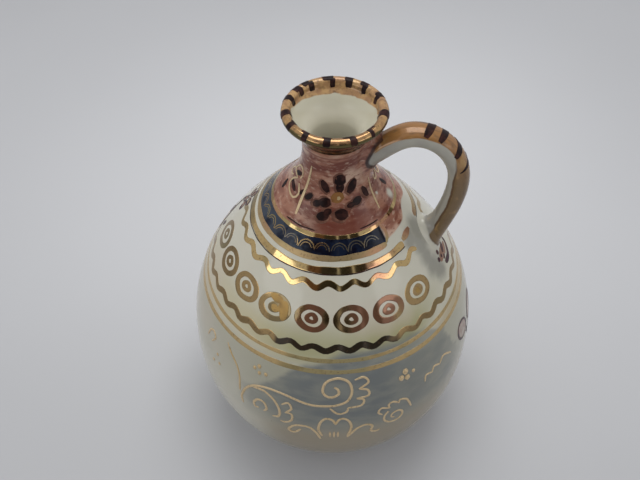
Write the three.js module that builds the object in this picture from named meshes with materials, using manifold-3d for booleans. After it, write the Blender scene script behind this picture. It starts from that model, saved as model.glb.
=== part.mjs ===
// Ceramic jug: a round thrown belly on a turned foot ring, a flared neck, a beaded lip
// and one pulled loop handle that springs from the neck and lands on the shoulder.
// Millimetres, +Z up. The origin is on the ground under the middle of the jug, and the
// handle points to +X. Profiles are drawn as (radius, height) and turned about Z.
import * as THREE from "three";
import { mergeVertices } from "three/addons/utils/BufferGeometryUtils.js";
import Module from "manifold-3d";

const wasm = await Module();
wasm.setup();

// Foot ring
const FOOT_HEIGHT = 5;
const FOOT_RADIUS = 37;
const FOOT_WIDTH = 7;
const FOOT_BEVEL = 1;

// Belly and shoulder. A pull is the length of a curve's handle, a lean its angle in degrees,
// and a rise is the height over the seat or ring below.
const FOOT_STEP = 1;
const FOOT_LEAN = 25.7;
const FOOT_PULL = 22.8;
const BELLY_RADIUS = 65;
const BELLY_RISE = 52;
const BELLY_PULL_DOWN = 17;
const BELLY_PULL_UP = 39.9;
const SHOULDER_RISE = 84;
const SHOULDER_LEAN = 130.5;
const SHOULDER_PULL = 37;
const BODY_WALL = 4.2;
const FLOOR = 5;

// Neck
const NECK_SEAT_RADIUS = 24.6;
const NECK_PULL_DOWN = 10;
const NECK_PULL_UP = 12;
const THROAT_RADIUS = 12.4;
const THROAT_RISE = 25;
const NECK_WALL = 3.2;

// Lip
const LIP_SEAT_RADIUS = 13;
const LIP_SEAT_RISE = 6;
const LIP_SEAT_LEAN = 75;
const LIP_SEAT_PULL = 3;
const BEAD_CENTRE_RADIUS = 18.1;
const BEAD_RISE = 10.1;
const BEAD_RADIUS = 1.9;
const BEAD_START = -70;
const BEAD_END = 180;
const LIP_FLARE_LEAN = 35;
const LIP_FLARE_PULL = 3;
const FUNNEL_PULL = 3;

// Handle, in the XZ plane: its root is below the lip's seat, its crest is out from the root,
// its back is out from the crest and its foot is below the neck's seat
const HANDLE_ROOT_DROP = 10;
const HANDLE_ROOT_LEAN = 38;
const HANDLE_ROOT_PULL = 9;
const HANDLE_CREST_OUT = 18.4;
const HANDLE_CREST_RISE = 11.5;
const HANDLE_CREST_PULL_IN = 7;
const HANDLE_CREST_PULL_OUT = 9.9;
const HANDLE_BACK_OUT = 18.3;
const HANDLE_BACK_DROP = 23;
const HANDLE_BACK_PULL_UP = 12.7;
const HANDLE_BACK_PULL_DOWN = 10;
const HANDLE_FOOT_DROP = 21;
const HANDLE_FOOT_LEAN = -107;
const HANDLE_FOOT_PULL = 12;
const HANDLE_WIDTH = 10.7;
const HANDLE_THICKNESS = 9.8;
const HANDLE_FLATNESS = 0.12;
const HANDLE_TAPER = 0.1;
const HANDLE_SINK = 8;

// Clay worked round both ends of the handle
const COLLAR_LENGTH = 7;
const COLLAR_FLARE = 3;
const COLLAR_EDGE = 0.6;

const CLEARANCE = 0.3;

// Facets
const TURN_SEGMENTS = 48;
const LONG_CURVE_STEPS = 12;
const SHORT_CURVE_STEPS = 7;
const BEAD_STEPS = 10;
const HANDLE_STEPS = 30;
const HANDLE_SIDES = 20;
const COLLAR_STEPS = 6;

// Glazes and lustres
const IVORY_GLAZE = { color: 0xc9c8bb, roughness: 0.18, metalness: 0 };
const BLUE_GREY_GLAZE = { color: 0xaab4b8, roughness: 0.18, metalness: 0 };
const PLUM_GLAZE = { color: 0x8a5a5c, roughness: 0.22, metalness: 0 };
const GOLD_LUSTRE = { color: 0xa9874e, roughness: 0.25, metalness: 0.6 };
const BARE_CLAY = { color: 0xb7a892, roughness: 0.85, metalness: 0 };

const at = (radius, height) => new THREE.Vector2(radius, height);

function leaning(degrees, length) {
  const angle = THREE.MathUtils.degToRad(degrees);
  return at(Math.cos(angle), Math.sin(angle)).multiplyScalar(length);
}

const plus = (point, offset) => point.clone().add(offset);
const minus = (point, offset) => point.clone().sub(offset);
const bezier = (a, b, c, d) => new THREE.CubicBezierCurve(a, b, c, d);
const path = (steps, ...curves) =>
  curves.flatMap((curve, i) => curve.getPoints(steps).slice(i ? 1 : 0));

// Outer and inner curves of the vessel, each drawn upwards
function bellyCurves(seat, belly, neckSeat) {
  return [
    bezier(seat, plus(seat, leaning(FOOT_LEAN, FOOT_PULL)), minus(belly, at(0, BELLY_PULL_DOWN)), belly),
    bezier(
      belly,
      plus(belly, at(0, BELLY_PULL_UP)),
      minus(neckSeat, leaning(SHOULDER_LEAN, SHOULDER_PULL)),
      neckSeat,
    ),
  ];
}

function neckCurves(neckSeat, throat, lipSeat) {
  return [
    bezier(
      neckSeat,
      plus(neckSeat, leaning(SHOULDER_LEAN, NECK_PULL_DOWN)),
      minus(throat, at(0, NECK_PULL_UP)),
      throat,
    ),
    bezier(
      throat,
      plus(throat, at(0, LIP_SEAT_PULL)),
      minus(lipSeat, leaning(LIP_SEAT_LEAN, LIP_SEAT_PULL)),
      lipSeat,
    ),
  ];
}

const footSeat = at(FOOT_RADIUS + FOOT_STEP, FOOT_HEIGHT);
const belly = at(BELLY_RADIUS, footSeat.y + BELLY_RISE);
const neckSeat = at(NECK_SEAT_RADIUS, belly.y + SHOULDER_RISE);
const throat = at(THROAT_RADIUS, neckSeat.y + THROAT_RISE);
const lipSeat = at(LIP_SEAT_RADIUS, throat.y + LIP_SEAT_RISE);

// The shoulder leans, so its level cut is wider than the wall is thick
const neckSeatWall = BODY_WALL / Math.sin(THREE.MathUtils.degToRad(SHOULDER_LEAN));
const floorEdge = plus(footSeat, at(-BODY_WALL, FLOOR));
const bellyInside = minus(belly, at(BODY_WALL, 0));
const neckSeatInside = minus(neckSeat, at(neckSeatWall, 0));
const throatInside = minus(throat, at(NECK_WALL, 0));
const lipSeatInside = minus(lipSeat, at(NECK_WALL, 0));

const bellyOutside = bellyCurves(footSeat, belly, neckSeat);
const neckOutside = neckCurves(neckSeat, throat, lipSeat);

const footProfile = [
  at(FOOT_RADIUS - FOOT_WIDTH + FOOT_BEVEL, 0),
  at(FOOT_RADIUS - FOOT_BEVEL, 0),
  at(FOOT_RADIUS, FOOT_BEVEL),
  at(FOOT_RADIUS, FOOT_HEIGHT),
  at(FOOT_RADIUS - FOOT_WIDTH, FOOT_HEIGHT),
  at(FOOT_RADIUS - FOOT_WIDTH, FOOT_BEVEL),
];

const bodyProfile = [
  at(0, footSeat.y),
  ...path(LONG_CURVE_STEPS, ...bellyOutside),
  ...path(LONG_CURVE_STEPS, ...bellyCurves(floorEdge, bellyInside, neckSeatInside)).reverse(),
  at(0, floorEdge.y),
];

const neckProfile = [
  ...path(SHORT_CURVE_STEPS, ...neckOutside),
  ...path(SHORT_CURVE_STEPS, ...neckCurves(neckSeatInside, throatInside, lipSeatInside)).reverse(),
];

// The bead is a round roll of clay, met by the flare under it and the funnel inside it
const beadCentre = at(BEAD_CENTRE_RADIUS, lipSeat.y + BEAD_RISE);
const onBead = (degrees) => plus(beadCentre, leaning(degrees, BEAD_RADIUS));
const bead = new THREE.EllipseCurve(
  ...beadCentre,
  BEAD_RADIUS,
  BEAD_RADIUS,
  THREE.MathUtils.degToRad(BEAD_START),
  THREE.MathUtils.degToRad(BEAD_END),
).getPoints(BEAD_STEPS);
const flare = bezier(
  lipSeat,
  plus(lipSeat, leaning(LIP_SEAT_LEAN, LIP_SEAT_PULL)),
  minus(onBead(BEAD_START), leaning(LIP_FLARE_LEAN, LIP_FLARE_PULL)),
  onBead(BEAD_START),
).getPoints(SHORT_CURVE_STEPS);
const funnel = bezier(
  onBead(BEAD_END),
  minus(onBead(BEAD_END), at(0, FUNNEL_PULL)),
  plus(lipSeatInside, leaning(LIP_SEAT_LEAN, FUNNEL_PULL)),
  lipSeatInside,
).getPoints(SHORT_CURVE_STEPS);
const lipProfile = [...flare, ...bead.slice(1), ...funnel.slice(1)];

const isOnAxis = (point) => point.x === 0;

// A profile that leaves the axis is closed on itself
function turned(profile) {
  const closed = isOnAxis(profile[0]) ? profile : [...profile, profile[0]];
  return new THREE.LatheGeometry(closed, TURN_SEGMENTS).rotateX(Math.PI / 2);
}

function solidOf(geometry) {
  const bare = new THREE.BufferGeometry()
    .setAttribute("position", geometry.getAttribute("position"))
    .setIndex(geometry.index);
  const merged = mergeVertices(bare);
  const corners = merged.index.array;
  const triVerts = [];
  for (let i = 0; i < corners.length; i += 3) {
    const [a, b, c] = corners.slice(i, i + 3);
    if (a !== b && b !== c && c !== a) triVerts.push(a, b, c);
  }
  return new wasm.Manifold(
    new wasm.Mesh({
      numProp: 3,
      vertProperties: merged.getAttribute("position").array,
      triVerts: new Uint32Array(triVerts),
    }),
  );
}

function geometryOf(solid) {
  const mesh = solid.getMesh();
  const geometry = new THREE.BufferGeometry()
    .setAttribute("position", new THREE.BufferAttribute(mesh.vertProperties, 3))
    .setIndex(new THREE.BufferAttribute(mesh.triVerts, 1));
  geometry.computeVertexNormals();
  return geometry;
}

// The outside of the whole vessel, grown all round, which trims what is stuck on to it
function vesselSolid(growth) {
  const outline = [
    ...path(LONG_CURVE_STEPS, ...bellyOutside),
    ...path(SHORT_CURVE_STEPS, ...neckOutside).slice(1),
    ...flare.slice(1),
    ...bead.slice(1),
  ];
  const grown = outline.map((point, i) => {
    const before = outline[Math.max(i - 1, 0)];
    const after = outline[Math.min(i + 1, outline.length - 1)];
    const along = minus(after, before).normalize();
    return plus(point, at(along.y, -along.x).multiplyScalar(growth));
  });
  return solidOf(turned([at(0, grown[0].y), ...grown, at(0, grown.at(-1).y)]));
}

// Radius of an upward curve at a height, by halving the span
function radiusAt(curves, height) {
  const curve = curves.find((part) => part.getPoint(1).y >= height);
  let [low, high] = [0, 1];
  while (high - low > Number.EPSILON * 4) {
    const middle = (low + high) / 2;
    if (curve.getPoint(middle).y < height) low = middle;
    else high = middle;
  }
  return curve.getPoint(high).x;
}

// Handle centreline: out of the neck, over the crest, down the back and on to the shoulder
const onCurves = (curves, height) => at(radiusAt(curves, height), height);
const handleRoot = onCurves(neckOutside, lipSeat.y - HANDLE_ROOT_DROP);
const handleCrest = plus(handleRoot, at(HANDLE_CREST_OUT, HANDLE_CREST_RISE));
const handleBack = plus(handleCrest, at(HANDLE_BACK_OUT, -HANDLE_BACK_DROP));
const handleFoot = onCurves(bellyOutside, neckSeat.y - HANDLE_FOOT_DROP);

const centreline = new THREE.CurvePath();
[
  new THREE.LineCurve(minus(handleRoot, leaning(HANDLE_ROOT_LEAN, HANDLE_SINK)), handleRoot),
  bezier(
    handleRoot,
    plus(handleRoot, leaning(HANDLE_ROOT_LEAN, HANDLE_ROOT_PULL)),
    minus(handleCrest, at(HANDLE_CREST_PULL_IN, 0)),
    handleCrest,
  ),
  bezier(
    handleCrest,
    plus(handleCrest, at(HANDLE_CREST_PULL_OUT, 0)),
    plus(handleBack, at(0, HANDLE_BACK_PULL_UP)),
    handleBack,
  ),
  bezier(
    handleBack,
    minus(handleBack, at(0, HANDLE_BACK_PULL_DOWN)),
    minus(handleFoot, leaning(HANDLE_FOOT_LEAN, HANDLE_FOOT_PULL)),
    handleFoot,
  ),
  new THREE.LineCurve(handleFoot, plus(handleFoot, leaning(HANDLE_FOOT_LEAN, HANDLE_SINK))),
].forEach((curve) => centreline.add(curve));
const handleLength = centreline.getLength();

// One ring of the handle at a share of its length: an oval, flatter on its outer face
function handleRing(share, growth) {
  const centre = centreline.getPoint(share);
  const along = centreline.getTangent(share);
  const outward = at(-along.y, along.x);
  const slim = 1 - HANDLE_TAPER * share;
  const halfWidth = (HANDLE_WIDTH / 2) * slim + growth;
  const halfThickness = (HANDLE_THICKNESS / 2) * slim + growth;
  return Array.from({ length: HANDLE_SIDES }, (_, k) => {
    const angle = (2 * Math.PI * k) / HANDLE_SIDES;
    const rise = Math.sin(angle) * halfThickness * (1 - HANDLE_FLATNESS * Math.max(Math.sin(angle), 0));
    const point = plus(centre, outward.clone().multiplyScalar(rise));
    return new THREE.Vector3(point.x, Math.cos(angle) * halfWidth, point.y);
  });
}

// Skin over a row of rings, with a fan of triangles over each end
function lofted(rings) {
  const sides = rings[0].length;
  const points = rings.flat();
  const middle = (ring) =>
    ring.reduce((sum, point) => sum.add(point), new THREE.Vector3()).divideScalar(sides);
  const first = points.push(middle(rings[0])) - 1;
  const last = points.push(middle(rings.at(-1))) - 1;
  const faces = [];
  for (let k = 0; k < sides; k++) {
    const next = (k + 1) % sides;
    for (let i = 0; i + 1 < rings.length; i++) {
      const [a, b] = [i * sides + k, i * sides + next];
      faces.push(a, b, a + sides, b, b + sides, a + sides);
    }
    const end = (rings.length - 1) * sides;
    faces.push(first, next, k, last, end + k, end + next);
  }
  return new THREE.BufferGeometry().setFromPoints(points).setIndex(faces);
}

const shares = (from, to, steps) =>
  Array.from({ length: steps + 1 }, (_, i) => from + ((to - from) * i) / steps);

const handleBlank = (growth) =>
  solidOf(lofted(shares(0, 1, HANDLE_STEPS).map((share) => handleRing(share, growth))));

// Clay smoothed round one end: widest on the vessel, thinning along the handle
function collar(end, vessel, grownHandle) {
  const reach = (HANDLE_SINK + COLLAR_LENGTH) / handleLength;
  const surface = HANDLE_SINK / handleLength;
  const spots = end === 0 ? shares(0, reach, COLLAR_STEPS) : shares(1 - reach, 1, COLLAR_STEPS);
  const rings = spots.map((share) => {
    const fromEnd = Math.abs(share - end);
    const rest = THREE.MathUtils.clamp((reach - fromEnd) / (reach - surface), 0, 1);
    return handleRing(share, COLLAR_EDGE + COLLAR_FLARE * rest ** 2);
  });
  return solidOf(lofted(rings)).subtract(vessel).subtract(grownHandle);
}

const vessel = vesselSolid(CLEARANCE);
const grownHandle = handleBlank(CLEARANCE);

const group = new THREE.Group();

function addPiece(name, geometry, finish) {
  const mesh = new THREE.Mesh(geometry, new THREE.MeshStandardMaterial(finish));
  mesh.name = name;
  group.add(mesh);
}

addPiece("foot_ring", turned(footProfile), BARE_CLAY);
addPiece("body", turned(bodyProfile), BLUE_GREY_GLAZE);
addPiece("neck", turned(neckProfile), PLUM_GLAZE);
addPiece("mouth_rim", turned(lipProfile), GOLD_LUSTRE);
addPiece("handle", geometryOf(handleBlank(0).subtract(vessel)), IVORY_GLAZE);
addPiece("handle_top_joint", geometryOf(collar(0, vessel, grownHandle)), IVORY_GLAZE);
addPiece("handle_foot_joint", geometryOf(collar(1, vessel, grownHandle)), IVORY_GLAZE);

export default group;
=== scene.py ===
# %% [markdown]
# # A small painted lustre jug
#
# The jug stands about 184 mm tall. A potter throws the belly, neck and lip on a wheel, pulls a strap
# of clay for the handle, glazes everything off-white and then paints it: cobalt and plum under the
# glaze, metallic gold lustre over it. This lesson follows the same order. The measured model is loaded
# first, because every shape below has to sit where the measured pieces are.

# %% Load the measured jug
import math

import bmesh
import bpy
import numpy as np
from mathutils import Matrix, Vector


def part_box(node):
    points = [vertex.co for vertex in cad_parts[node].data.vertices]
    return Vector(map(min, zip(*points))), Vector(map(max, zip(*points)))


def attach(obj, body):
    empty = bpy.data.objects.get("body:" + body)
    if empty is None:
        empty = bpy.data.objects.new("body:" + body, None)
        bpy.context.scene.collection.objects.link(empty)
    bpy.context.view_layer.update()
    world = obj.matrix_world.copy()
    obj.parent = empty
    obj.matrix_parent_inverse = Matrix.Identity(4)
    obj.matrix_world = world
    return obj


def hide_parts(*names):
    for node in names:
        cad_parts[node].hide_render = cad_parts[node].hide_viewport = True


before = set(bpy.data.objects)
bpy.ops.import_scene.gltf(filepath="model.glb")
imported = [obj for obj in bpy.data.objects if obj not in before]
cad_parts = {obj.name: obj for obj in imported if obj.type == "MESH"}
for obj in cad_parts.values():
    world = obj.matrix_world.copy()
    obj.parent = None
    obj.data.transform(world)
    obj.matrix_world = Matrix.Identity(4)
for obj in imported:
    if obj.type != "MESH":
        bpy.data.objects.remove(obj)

MM = 0.001
scene = bpy.context.scene
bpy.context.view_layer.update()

# %% [markdown]
# ## The camera
#
# The jug is seen from above and in front, so that the mouth, the shoulder and half of the belly show.
# The lens is worked out from the focal length in pixels of a frame 640 pixels wide. Turning the camera
# with three plain rotations keeps each angle readable: round the jug, down towards it, and a slight roll.

# %% Camera
FRAME_WIDTH = 640  # pixels
FOCAL_LENGTH = 760  # pixels
SENSOR_WIDTH = 36  # mm on the sensor
CAMERA_PLACE = Vector((15.4, -220.2, 358.7)) * MM
CAMERA_TURN = 5.46  # degrees, as are the next two
CAMERA_TILT = 41.7
CAMERA_ROLL = -0.2


def turned(degrees, axis):
    """A turn about one axis, as a matrix."""
    return Matrix.Rotation(math.radians(degrees), 4, axis)


lens = bpy.data.cameras.new("camera")
lens.sensor_fit = "HORIZONTAL"
lens.sensor_width = SENSOR_WIDTH
lens.lens = SENSOR_WIDTH * FOCAL_LENGTH / FRAME_WIDTH
camera = bpy.data.objects.new("camera", lens)
camera.matrix_world = (
    Matrix.Translation(CAMERA_PLACE)
    @ turned(CAMERA_TURN, "Z")
    @ turned(CAMERA_TILT, "X")
    @ turned(CAMERA_ROLL, "Z")
)
scene.collection.objects.link(camera)
scene.camera = camera
scene.view_settings.view_transform = "Standard"
print(f"lens {lens.lens:.2f} mm, camera {CAMERA_PLACE.length:.3f} m from the jug's foot")

# %% [markdown]
# ## Node trees in few words
#
# Materials, the world and Geometry Nodes are all node trees. One helper adds a node, sets its options and
# fills its inputs: with a link where the value is another node's output, and with a plain value elsewhere.
# Each tree below then reads as a short list. The other helpers cover the steps that come again and again:
# sums on numbers and vectors, a smooth step between two values, and one colour laid over another.

# %% Node helpers


def fill(node, inputs):
    """Fills a node's inputs; an output of another node is linked, anything else is a plain value."""
    for name, value in inputs.items():
        if isinstance(value, bpy.types.NodeSocket):
            node.id_data.links.new(value, node.inputs[name])
        else:
            node.inputs[name].default_value = value


def add(tree, kind, inputs=None, **options):
    """Adds one node, sets its options and fills its inputs."""
    made = tree.nodes.new(kind)
    for name, value in options.items():
        setattr(made, name, value)
    fill(made, inputs or {})
    return made


def tree_of(*values):
    """The tree that the first output among some values belongs to."""
    return next(value.id_data for value in values if isinstance(value, bpy.types.NodeSocket))


def sum_of(operation, *terms):
    """A Math node on outputs and plain numbers."""
    return add(tree_of(*terms), "ShaderNodeMath", dict(enumerate(terms)), operation=operation).outputs[0]


def times(product, *factors):
    """Outputs and plain numbers, multiplied."""
    for factor in factors:
        product = sum_of("MULTIPLY", product, factor)
    return product


def vector_sum(operation, *terms):
    """A Vector Math node; a distance comes out as a number, anything else as a vector."""
    made = add(tree_of(*terms), "ShaderNodeVectorMath", dict(enumerate(terms)), operation=operation)
    return made.outputs["Value" if operation == "DISTANCE" else "Vector"]


def parts_of(vector):
    """The X, Y and Z of a vector."""
    return add(vector.id_data, "ShaderNodeSeparateXYZ", {"Vector": vector}).outputs


def axes_of(place):
    """The three coordinates of a place, in millimetres."""
    return parts_of(vector_sum("MULTIPLY", place, (1 / MM,) * 3))


def angle_of(axes):
    """The azimuth of a place in degrees."""
    return sum_of("DEGREES", sum_of("ARCTAN2", axes["Y"], axes["X"]))


def step(value, low, high, start=0.0, end=1.0):
    """Goes smoothly from start to end as the value goes from low to high."""
    inputs = {"Value": value, "From Min": low, "From Max": high, "To Min": start, "To Max": end}
    made = add(value.id_data, "ShaderNodeMapRange", inputs, interpolation_type="SMOOTHSTEP")
    return made.outputs["Result"]


def between(value, low, high, soft):
    """1 where the value lies between low and high, with soft edges."""
    return times(step(value, low - soft, low + soft), step(value, high + soft, high - soft))


def layer(amount, below, above):
    """Lays one colour over another by an amount from 0 to 1."""
    under, over = ((*colour, 1) if isinstance(colour, tuple) else colour for colour in (below, above))
    return add(amount.id_data, "ShaderNodeMix", {0: amount, 6: under, 7: over}, data_type="RGBA").outputs[2]


print("node helpers:", [helper.__name__ for helper in (add, sum_of, vector_sum, step, between, layer)])

# %% [markdown]
# ## The table
#
# The jug stands on a plain pale table. One large square is enough, set a hair below the foot. Its grey is
# a little lighter behind the jug, a painted pool of light as under a soft lamp, and a little darker in
# front, which is painted shade. This is easier to steer in the colour than by a lamp.

# %% Floor
FLOOR_REACH = 4.0  # m from the middle to the edge
FLOOR_DROP = 0.05  # mm below the foot, so that the faces never coincide
FLOOR_GREY = (0.60, 0.605, 0.62)
FLOOR_ROUGHNESS = 0.7
FLOOR_SHINE = 0.2
POOL_MIDDLE = (0.0, 0.16, 0.0)  # m, behind the jug
FRONT_SHADE = 0.90  # how much darker the table is in front of the jug


def new_object(name, points, edges=(), faces=()):
    """A mesh object in the scene, from points in metres."""
    mesh = bpy.data.meshes.new(name)
    mesh.from_pydata(points, edges, faces)
    made = bpy.data.objects.new(name, mesh)
    scene.collection.objects.link(made)
    return made


def new_material(name):
    """A material of nodes, and the Object coordinates that its recipe reads."""
    material = bpy.data.materials.new(name)
    material.use_nodes = True
    return material, add(material.node_tree, "ShaderNodeTexCoord").outputs["Object"]


def table_finish():
    """Rough pale grey, a little uneven; painted light behind the jug and painted shade in front."""
    material, place = new_material("pale_table")
    soft = {"Scale": 3.0, "Detail": 3.0, "Vector": place}
    cloud = add(material.node_tree, "ShaderNodeTexNoise", soft).outputs["Fac"]
    away = vector_sum("DISTANCE", place, POOL_MIDDLE)
    # painted light and shade: lighter behind the jug, darker in front
    shade = times(
        step(away, 0.03, 0.28, 1.13, 0.94),
        step(away, 0.5, 2.0, 1, 1.35),
        step(axes_of(place)["Y"], -90, 90, FRONT_SHADE, 1),
        step(cloud, 0.3, 0.7, 0.98, 1.02),
    )
    fill(material.node_tree.nodes["Principled BSDF"], {
        "Base Color": vector_sum("MULTIPLY", FLOOR_GREY, shade),
        "Roughness": FLOOR_ROUGHNESS,
        "Specular IOR Level": FLOOR_SHINE,
    })
    return material


square = ((-1, -1), (1, -1), (1, 1), (-1, 1))
corners = [(x * FLOOR_REACH, y * FLOOR_REACH, -FLOOR_DROP * MM) for x, y in square]
floor = new_object("floor", corners, faces=[(0, 1, 2, 3)])
floor.data.materials.append(table_finish())
print(f"floor {2 * FLOOR_REACH:.0f} m across")

# %% [markdown]
# ## Soft panels
#
# Two soft panels stand left and right of the front, and a larger one hangs above. Shiny gold mirrors them
# as bright bars on the bands. Area lamps give the soft shadows of such panels and keep an exact place.

# %% Soft panels
LIT_POINT = Vector((0, 0, 90)) * MM
PANELS = (  # name, azimuth and elevation in degrees, distance, width and height in metres, power in watts
    ("panel_left", -137, 21, 0.9, 0.69, 0.17, 0.74),
    ("panel_right", -28, 20.5, 0.9, 0.45, 0.17, 0.375),
    ("ceiling", 90, 78, 0.62, 0.40, 0.40, 1.85),
)


def soft_panel(name, azimuth, elevation, distance, width, height, power):
    """A rectangular lamp that faces the middle of the jug."""
    light = bpy.data.lights.new(name, "AREA")
    light.shape = "RECTANGLE"
    light.size = width
    light.size_y = height
    light.energy = power
    lamp = bpy.data.objects.new(name, light)
    around, up = math.radians(azimuth), math.radians(elevation)
    away = Vector((math.cos(up) * math.cos(around), math.cos(up) * math.sin(around), math.sin(up)))
    facing = away.to_track_quat("Z", "Y").to_matrix().to_4x4()
    lamp.matrix_world = Matrix.Translation(LIT_POINT + away * distance) @ facing
    scene.collection.objects.link(lamp)


for panel in PANELS:
    soft_panel(*panel)
print("lamps:", [panel[0] for panel in PANELS])

# %% [markdown]
# ## The light tent
#
# Around the jug hangs a light tent with a dark gap in front, where the camera looks in. The gap matters,
# because gold shows whatever is around it: the dark stretches on the bands are the gap, and two narrow
# slits in it make the thin bright lines. Camera rays see a plain pale world, so low views stay clean.

# %% World
TENT_LOW = (0.62, 0.62, 0.635)
TENT_HIGH = (0.56, 0.565, 0.58)
TENT_FADE = (5, 40)  # degrees above the horizon between which the tent's grey changes
GAP_DARK = (0.045, 0.041, 0.037)
GAP_BROWN = (0.15, 0.090, 0.062)
GAP_SIDES = (-117, -43)  # azimuths in degrees, as are the slits and the brown's end
GAP_TOP = 42  # degrees above the horizon
GAP_VEIL = 0.4  # how much of the gap plain surfaces feel; only mirrors see all of it
BROWN_END = -101
BROWN_FADE = 3
SLITS = (-78.5, -60)
SLIT_HALF = 1.5
SOFT_EDGE = 1.2
BACKDROP = (0.53, 0.54, 0.565, 1)

world = bpy.data.worlds.new("light_tent")
world.use_nodes = True
scene.world = world
sky = world.node_tree
sky.nodes.clear()
direction = add(sky, "ShaderNodeTexCoord").outputs["Generated"]
way = parts_of(direction)
around = angle_of(way)
rise = sum_of("DEGREES", sum_of("ARCSINE", way["Z"]))
ray = add(sky, "ShaderNodeLightPath").outputs
in_gap = times(
    between(around, *GAP_SIDES, SOFT_EDGE),
    step(rise, GAP_TOP + SOFT_EDGE, GAP_TOP - SOFT_EDGE),
    step(ray["Is Glossy Ray"], 0, 1, GAP_VEIL, 1),
)
for slit in SLITS:
    opened = between(around, slit - SLIT_HALF, slit + SLIT_HALF, SOFT_EDGE)
    in_gap = times(in_gap, sum_of("SUBTRACT", 1.0, opened))
tent = layer(step(rise, *TENT_FADE), TENT_LOW, TENT_HIGH)
gap = layer(step(around, BROWN_END - BROWN_FADE, BROWN_END + BROWN_FADE), GAP_BROWN, GAP_DARK)
lighting = add(sky, "ShaderNodeBackground", {"Color": layer(in_gap, tent, gap)}).outputs[0]
backdrop = add(sky, "ShaderNodeBackground", {"Color": BACKDROP}).outputs[0]
seen = add(sky, "ShaderNodeMixShader", {0: ray["Is Camera Ray"], 1: lighting, 2: backdrop})
add(sky, "ShaderNodeOutputWorld", {"Surface": seen.outputs[0]})
print("world: a light tent with a dark gap in front")

# %% [markdown]
# ## The skin of the jug
#
# A thrown pot is round, so its whole shape is one line from the foot to the lip, turned about the axis.
# Each stretch is a Bezier arc, set by where it starts and ends and which way it leans there, as a potter's
# rib is. Few numbers make a smooth line, and it stays smooth when one of them changes.

# %% Lines and arcs
UP = np.array((0.0, 1.0))
OUT = np.array((1.0, 0.0))


def leaning(degrees, length):
    """A step of that length in the plane of radius and height, leaning up from the outward direction."""
    angle = math.radians(degrees)
    return np.array((math.cos(angle), math.sin(angle))) * length


def bend(start, leave, arrive, end, steps):
    """A cubic Bezier arc that leaves start and arrives at end along the two given steps."""
    share = np.linspace(0, 1, steps + 1)[:, None]
    rest = 1 - share
    first, second = start + leave, end - arrive
    return rest**3 * start + 3 * rest**2 * share * first + 3 * rest * share**2 * second + share**3 * end


def strung(*parts):
    """Joins lines end to end, dropping the doubled joints."""
    return np.vstack([parts[0]] + [part[1:] for part in parts[1:]])


def run_along(points):
    """How far along a line each of its points lies."""
    return np.concatenate([[0], np.cumsum(np.hypot(*np.diff(points, axis=0).T))])


print("a bend in 4 steps has", len(bend(0 * UP, UP, OUT, UP + OUT, 4)), "points")

# %% [markdown]
# ## The line of the wall
#
# The heights and radii come from the measured pieces, so the finer skin lies where they lie. The same line
# is used again later to wrap the painting round the jug, so the paint always lies on the surface.

# %% The line of the wall
boxes = [np.array(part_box(node)) / MM for node in ("foot_ring", "body", "neck", "mouth_rim")]
foot_box, body_box, neck_box, lip_box = boxes
STRETCH_STEPS = 72
NECK_STEPS = 40
LIP_STEPS = 16
FOOT_STEP = 1.0  # the body overhangs the ring by this much; millimetres from here on
BELLY_HEIGHT = 57.0
BODY_WALL = 4.2
BODY_FLOOR = 5.0
SHOULDER_LEAN = 130.5  # degrees
NECK_WALL = 3.2
THROAT = np.array((12.4, 166.0))  # radius and height
LIP_SEAT_RADIUS = 13.0
LIP_LEAN = 75.0  # degrees
BEAD_RADIUS = 1.9
BEAD_START = -70  # degrees round the bead, where the flare under it ends
BEAD_END = 180  # where the funnel inside begins

seat = np.array((foot_box[1][0] + FOOT_STEP, body_box[0][2]))
belly = np.array((body_box[1][0], BELLY_HEIGHT))
neck_seat = np.array((neck_box[1][0], neck_box[0][2]))
lip_seat = np.array((LIP_SEAT_RADIUS, lip_box[0][2]))
lip_seat_inside = lip_seat - NECK_WALL * OUT
bead = np.array((lip_box[1][0], lip_box[1][2])) - BEAD_RADIUS


def body_wall(seat, belly, neck_seat):
    """The belly's line, from the foot out to the widest ring and in to the neck."""
    return strung(
        bend(seat, leaning(25.7, 22.8), 17.0 * UP, belly, STRETCH_STEPS),
        bend(belly, 39.9 * UP, leaning(SHOULDER_LEAN, 37.0), neck_seat, STRETCH_STEPS),
    )


def neck_wall(neck_seat, throat, lip_seat):
    """The neck's line, in to the throat and out again to the lip."""
    return strung(
        bend(neck_seat, leaning(SHOULDER_LEAN, 10.0), 12.0 * UP, throat, NECK_STEPS),
        bend(throat, 3.0 * UP, leaning(LIP_LEAN, 3.0), lip_seat, LIP_STEPS),
    )


def on_bead(degrees):
    """A point on the round of the lip."""
    return bead + leaning(degrees, BEAD_RADIUS)


body_line = body_wall(seat, belly, neck_seat)
neck_line = neck_wall(neck_seat, THROAT, lip_seat)
flare = bend(lip_seat, leaning(LIP_LEAN, 3.0), leaning(35, 3.0), on_bead(BEAD_START), LIP_STEPS)
bead_arc = np.array([on_bead(turn) for turn in np.linspace(BEAD_START, BEAD_END, 3 * LIP_STEPS)])
funnel = bend(on_bead(BEAD_END), -2.0 * UP, -leaning(LIP_LEAN, 6.5), lip_seat_inside, LIP_STEPS)
skin = strung(body_line, neck_line, flare, bead_arc, funnel)
skin_run = run_along(skin)
outside = slice(0, len(body_line) + len(neck_line) + len(flare) - 2)
bead_run = skin_run[outside][-1]


def run_at(height):
    """How far up the outside of the wall, along the wall, a height lies."""
    return np.interp(height, skin[outside, 1], skin_run[outside])


def radius_at(height):
    """How far from the axis the outside of the wall is at a height."""
    return np.interp(height, skin[outside, 1], skin[outside, 0])


print(f"wall line of {len(skin)} points, {skin_run[-1]:.1f} mm from the foot over the lip into the neck")

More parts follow.
